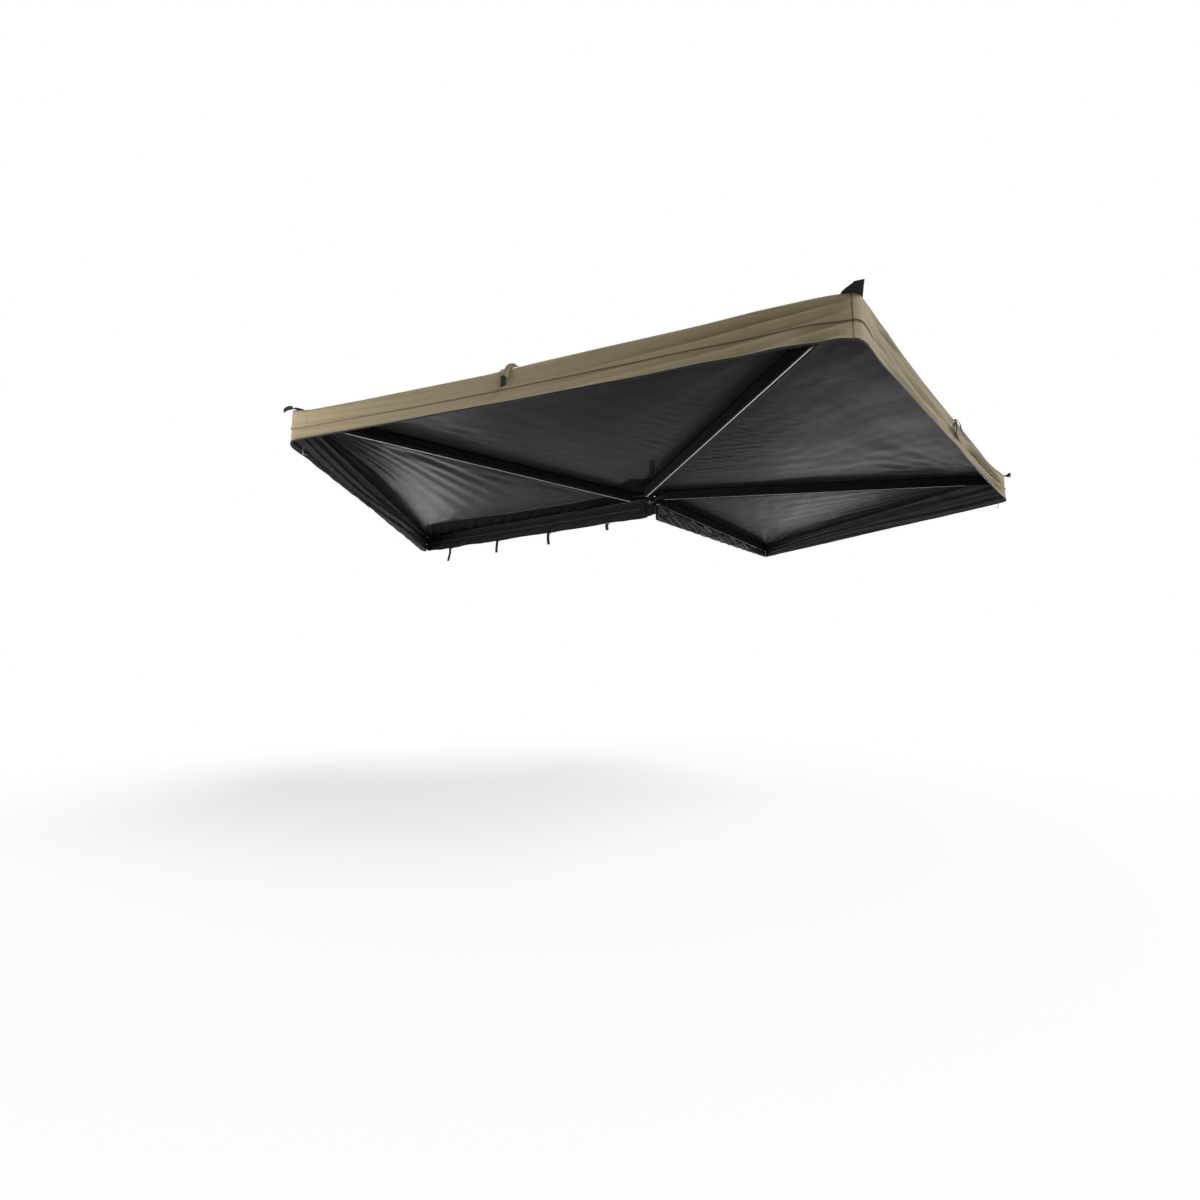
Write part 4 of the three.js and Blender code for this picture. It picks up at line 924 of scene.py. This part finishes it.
def make_bag():
    x = np.linspace(-BAG_FRONT, -BAG_REAR, 420)[:, None]
    places = np.arange(len(BAG_PROFILE))
    steps = np.linspace(0, len(BAG_PROFILE) - 1, 72)
    y, z = (np.interp(steps, places, axis)[None, :] for axis in np.array(BAG_PROFILE).T)
    run = np.concatenate([[0.0], np.cumsum(np.hypot(np.diff(y[0]), np.diff(z[0])))])[None, :]
    ends = smooth(0.0, 0.05, x + BAG_FRONT) * smooth(0.0, 0.05, -BAG_REAR - x)
    slack = smooth(0.05, 0.085, run) * ends
    folds = 0.5 + 0.45 * waves(x, run * 1.6, 91, 0.085, 52.0, 22.0)
    folds += 0.3 * waves(x, run, 92, 0.24, 20.0, 30.0)
    swell = np.clip(folds, -0.05, 1.3) * BAG_SWELL * slack
    shorten = np.clip(0.005 * slack * waves(x, 0.0 * run, 93, 0.5, 0.0, 5.0), 0.0, 0.006)
    nose = 1.0 - 0.1 * (1.0 - smooth(-0.02, 0.055, x + BAG_FRONT)) ** 2
    outer = stacked(x, y + swell, (z - z[0, 0]) * nose + z[0, 0] + shorten)
    pouch = (z < BAG_POUCH_TOP)[..., None]
    inner = outer + np.where(pouch, (np.array(BAG_MIDDLE) - outer) * BAG_PULL, 0.0012 * REARWARDS)
    seam = (np.minimum(np.abs(run - 0.012), np.abs(run - 0.1)), x)
    made = sheet_object("bag_shell", outer, inner, (x, run), seam, [BAG_CLOTH])
    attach(made, "base")
    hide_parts("storage_bag")
    row = int(np.argmin(np.abs(z[0, :30] - BAG_SEAM_HEIGHT)))
    path = outer[6:-8:3, row] - 0.0006 * REARWARDS
    piping = tube_object("bag_piping", path, 0.002, PIPING)
    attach(piping, "base")


make_bag()


HUB_COVER_ENDS = (-0.12, 0.004)
HUB_COVER_TOP = -0.012
HUB_COVER_BOTTOM = -0.128
HUB_COVER_Y = 0.1028


def make_hub_cover():
    """A short black curtain closes the gap between the bag and the last arm."""
    x = np.linspace(*HUB_COVER_ENDS, 40)[:, None]
    v = np.linspace(0.0, 1.0, 24)[None, :]
    bottom = HUB_COVER_BOTTOM + 0.012 * smooth(-0.1, 0.0, x)
    z = HUB_COVER_TOP + (bottom - HUB_COVER_TOP) * v
    relief = 0.0022 * (1.0 + waves(x, z, 97, 0.04, 20.0, 20.0)) * smooth(0.0, 0.3, v)
    outer = stacked(x, HUB_COVER_Y + relief, z)
    inner = outer + 0.0012 * REARWARDS
    made = sheet_object("hub_cover", outer, inner, (x, z), (np.abs(v - 0.93) * 0.11, x), [BAG_CLOTH])
    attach(made, "base")


make_hub_cover()


# Hanging bag straps: place along the backbone, length, lean.
BAG_STRAPS = [(-1.95, 0.11, -0.02), (-1.43, 0.096, -0.004), (-0.92, 0.09, 0.002),
              (-0.4, 0.046, -0.003)]
STRAP_HALF = 0.0125
STRAP_SEWN = 0.2


def make_bag_straps():
    for index, (place, length, lean) in enumerate(BAG_STRAPS):
        share = np.linspace(0.0, 1.0, 40)[:, None]
        across = np.array([-STRAP_HALF, -0.0062, 0.0, 0.0062, STRAP_HALF])[None, :]
        hang = np.clip((share - STRAP_SEWN) / (1.0 - STRAP_SEWN), 0.0, 1.0)
        under = np.clip(share / STRAP_SEWN, 0.0, 1.0)
        y = 0.1275 - 0.023 * under + 0.005 * hang + 0.003 * np.sin(5.0 * hang + index)
        z = -0.1312 - length * hang
        front = stacked(place + across + lean * hang ** 1.5, y, z)
        lying = (share < STRAP_SEWN)[..., None]
        back = front - 0.0014 * np.where(lying, UP, REARWARDS)
        run = share * (length + 0.025)
        seam = (STRAP_HALF - np.abs(across), run)
        made = sheet_object(f"bag_strap_web_{index + 1}", front, back, (across, run), seam, [WEBBING])
        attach(made, "base")
        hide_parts(f"bag_strap_{index + 1}")


make_bag_straps()


# Webbing tabs on the corners: name, turn, shift to the left, half width, then reach and height.
TABS = {
    1: ("front", 0.0, 0.018, 0.0125,
        [(-0.044, 0.0021), (-0.01, 0.0021), (0.008, 0.0012), (0.024, -0.008), (0.036, -0.022)]),
    2: ("middle", -33.75, -0.019, 0.034,
        [(-0.044, 0.01), (-0.006, 0.011), (0.01, 0.013), (0.028, 0.0185), (0.042, 0.0225)]),
    3: ("rear", 0.0, 0.013, 0.0125,
        [(-0.044, 0.0021), (0.0, 0.0021), (0.012, 0.003), (0.03, 0.0075), (0.044, 0.006)]),
}
TAB_STEPS = 28
TAB_THICKNESS = 0.003
TAB_TILT = math.radians(62.0)
TAB_TILT_RUNS = {1: (0.2, 0.5), 3: (0.55, 0.85)}
TAB_TAPER = 0.53
TAB_TAPER_SHIFT = 0.02


def make_corner_tabs():
    for number, (label, turn, shift, half, line) in TABS.items():
        angle = math.atan2(*corner(number)[::-1]) + math.radians(turn)
        outward = np.array([math.cos(angle), math.sin(angle), 0.0])
        left = np.array([-math.sin(angle), math.cos(angle), 0.0])
        path = curve_through([(reach, shift, height) for reach, height in line], TAB_STEPS)
        centre = np.array([*corner(number), 0.0]) + path @ np.array([outward, left, UP])
        run = np.linspace(0.0, 1.0, TAB_STEPS)[:, None]
        if number in TAB_TILT_RUNS:
            tilt = TAB_TILT * smooth(*TAB_TILT_RUNS[number], run)
            across = half * (np.cos(tilt) * left - np.sin(tilt) * UP)
        else:
            taper = smooth(0.45, 1.0, run)
            centre = centre + TAB_TAPER_SHIFT * taper * left
            across = half * (1.0 - TAB_TAPER * taper) * left
        made = ribbon_object(f"tab_{label}", centre, across, TAB_THICKNESS, WEBBING)
        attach(made, BODIES[number])
        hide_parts(f"corner_tab_{label}")


make_corner_tabs()


# Straps over two of the edges.
STRAP_STEPS = 36


def strap_place(number):
    """Where a strap lies on its edge, and the directions along the edge, out from it and up."""
    start, length, along, outward = edge_directions(number)
    share = STRAP_SHARES[number]
    foot = np.array([*(start + along * length * share), lift_at(EDGE_LIFTS, number, share)])
    return foot, np.array([[*along, 0.0], [*outward, 0.0], UP])


def make_strap_piece(name, number, node, across, thickness, finish, line):
    foot, axes = strap_place(number)
    path = foot + curve_through(line, STRAP_STEPS) @ axes
    made = ribbon_object(f"strap_{name}", path, np.asarray(across) @ axes, thickness, finish)
    fan_fold(made)
    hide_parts(f"mid_strap_{node}")


# Name, edge, node, half width, thickness, finish and line of each piece, in the strap's directions.
MID_STRAPS = [
    ("loop", 2, "outer", (0.02, 0.0, 0.0), 0.002, CANVAS,
     [(0.0, -0.026, 0.003), (0.0, -0.004, 0.003), (0.0, 0.01, 0.0005), (0.0, 0.0165, -0.01),
      (0.0, 0.0185, -0.034)]),
    ("patch", 2, "outer", (0.0125, 0.0, 0.003), 0.0026, WEBBING,
     [(-0.003, 0.02, -0.029), (-0.004, 0.0215, -0.05), (-0.004, 0.02, -0.074)]),
    ("tail", 2, "outer", (-0.006, 0.009, 0.004), 0.0022, CANVAS,
     [(0.01, 0.02, -0.04), (0.014, 0.026, -0.024), (0.024, 0.03, -0.009), (0.04, 0.028, -0.001),
      (0.054, 0.02, 0.001)]),
    ("leg", 3, "rear", (0.0085, 0.0, 0.0), 0.0022, WEBBING,
     [(0.0, -0.026, 0.003), (0.0, 0.003, 0.0034), (0.002, 0.012, -0.002), (0.002, 0.022, -0.022),
      (0.002, 0.0255, -0.06)]),
    ("free_end", 3, "rear", (0.0075, 0.0, 0.0), 0.0018, WEBBING,
     [(0.0, 0.004, 0.001), (-0.006, 0.0105, -0.012), (-0.018, 0.0105, -0.048), (-0.022, 0.0095, -0.082)]),
]
for piece in MID_STRAPS:
    make_strap_piece(*piece)


RING_RADIUS = 0.015
RING_BEND = 0.16
RING_WIRE = 0.0018
RING_STEPS = 49
RING_OUT = 0.0285
RING_DROP = 0.0775


def make_strap_ring():
    """A bent wire ring, nearly a triangle, that hangs from the strap on the rear edge."""
    foot, axes = strap_place(3)
    turn = np.linspace(0.0, math.tau, RING_STEPS)
    radius = RING_RADIUS * (1.0 + RING_BEND * np.cos(3.0 * turn))
    side = radius * np.sin(turn)
    path = np.stack([0.55 * side, 0.83 * side + RING_OUT, radius * np.cos(turn) - RING_DROP], 1)
    made = tube_object("strap_wire_ring", foot + path @ axes, RING_WIRE, STEEL)
    fan_fold(made)
    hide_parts("strap_ring")


make_strap_ring()


# Better materials for the metal and plastic that stay as they are, by a word in the node's name.
HARD_FINISHES = [
    (PLASTIC, ("cap", "washer")),
    (STEEL, ("bolt", "nut", "hook")),
    (BLACK_METAL, ("backbone", "hub", "bracket", "knuckle")),
    (RAIL_METAL, ("rail",)),
]


def node_finish(name):
    for number in ARMS:
        if name == f"arm_{number}":
            return ARM_METALS[number - 1]
    fitting = [finish for finish, words in HARD_FINISHES if any(word in name for word in words)]
    return fitting[0] if fitting else None


def paint_nodes():
    for name, node in frame["nodes"].items():
        finish = node_finish(name)
        if finish is not None:
            for place in node.material_slots:
                place.material = finish


paint_nodes()


# Floor, world and lamps.
FLOOR_HEIGHT = -2.0
FLOOR_SIZE = 60.0
FLOOR_WHITE = 0.72
SHADOW_END = 2.4
WHITE_START = 5.2
WORLD_LEVEL = (0.2, 0.188, 0.174, 1.0)
WHITE = (1.0, 1.0, 1.0, 1.0)


def seen_rays(tree):
    """1 for the rays that show a background: to the camera, in gloss and through glass."""
    paths = add_node(tree, "ShaderNodeLightPath").outputs
    seen = paths["Is Camera Ray"]
    for more in ("Is Glossy Ray", "Is Transmission Ray"):
        seen = add_node(tree, "ShaderNodeMath", {0: seen, 1: paths[more]}, operation="MAXIMUM").outputs[0]
    return seen


def make_stage():
    mesh = bpy.data.meshes.new("floor")
    size = FLOOR_SIZE
    points = [(x, y, FLOOR_HEIGHT) for x, y in ((-size, -size), (size, -size), (size, size), (-size, size))]
    mesh.from_pydata(points, [], [(0, 1, 2, 3)])
    floor = new_object("floor", mesh)
    pale = Finish("floor", (0.91, 0.91, 0.91), 0.9, Specular_IOR_Level=0.0)
    pale.tint(pale.noise(pale.place("object"), 0.6), (0.93, 0.93, 0.93))
    far = pale.node("ShaderNodeVectorMath", {0: pale.place("object")}, operation="LENGTH").outputs["Value"]
    reach = {"Value": far, "From Min": SHADOW_END, "From Max": WHITE_START, "To Min": FLOOR_WHITE}
    ramp = pale.node("ShaderNodeMapRange", reach)
    ramp.interpolation_type = "SMOOTHSTEP"
    share = pale.math("MULTIPLY", ramp.outputs[0], seen_rays(pale.tree))
    glow = pale.node("ShaderNodeEmission", {"Color": WHITE, "Strength": 1.0})
    mix = pale.node("ShaderNodeMixShader", {0: share, 1: pale.shader.outputs[0], 2: glow.outputs[0]})
    pale.tree.links.new(mix.outputs[0], pale.tree.nodes["Material Output"].inputs["Surface"])
    floor.data.materials.append(pale.done())


def make_world():
    world = bpy.data.worlds.new("world")
    bpy.context.scene.world = world
    world.use_nodes = True
    tree = world.node_tree
    soft = tree.nodes["Background"]
    soft.inputs["Color"].default_value = WORLD_LEVEL
    white = add_node(tree, "ShaderNodeBackground", {"Color": WHITE})
    inputs = {0: seen_rays(tree), 1: soft.outputs[0], 2: white.outputs[0]}
    mix = add_node(tree, "ShaderNodeMixShader", inputs)
    tree.links.new(mix.outputs[0], tree.nodes["World Output"].inputs["Surface"])


SUN_POWER = 3.7
SUN_COLOUR = (0.93, 1.0, 1.12)
SUN_ANGLE = math.radians(35.0)
SUN_HEADING = (0.78, -0.04, 0.6)
# Low area lamps that the lining mirrors: name, place, target, size, spread, power.
LAMPS = [
    ("low_left", (-2.3, -3.4, -1.1), (-1.3, -1.7, -0.05), 0.9, 1.2, 24.0),
    ("far_left", (-5.6, 2.5, -1.75), (-1.3, -1.0, 0.0), 1.4, 2.8, 31.0),
    ("far_rear", (0.5, 7.35, -1.7), (1.0, 0.9, 0.0), 3.0, 2.8, 54.0),
    ("far_middle", (0.25, 3.9, -1.8), (1.2, -0.5, 0.0), 1.6, 2.8, 6.0),
]


def make_lamps():
    sun = bpy.data.lights.new("sun", "SUN")
    sun.energy = SUN_POWER
    sun.color = SUN_COLOUR
    sun.angle = SUN_ANGLE
    lamp = new_object("sun", sun)
    lamp.rotation_euler = Vector(SUN_HEADING).to_track_quat("Z", "Y").to_euler()
    for name, place, target, size, spread, power in LAMPS:
        data = bpy.data.lights.new(name, "AREA")
        data.energy = power
        data.size = size
        data.spread = spread
        lamp = new_object(name, data)
        lamp.location = Vector(place) + Vector(ORIGIN)
        aim = Vector(target) + Vector(ORIGIN) - lamp.location
        lamp.rotation_euler = aim.to_track_quat("-Z", "Y").to_euler()
        lamp.visible_camera = False


make_stage()
make_world()
make_lamps()
bpy.context.scene.view_settings.view_transform = "Standard"
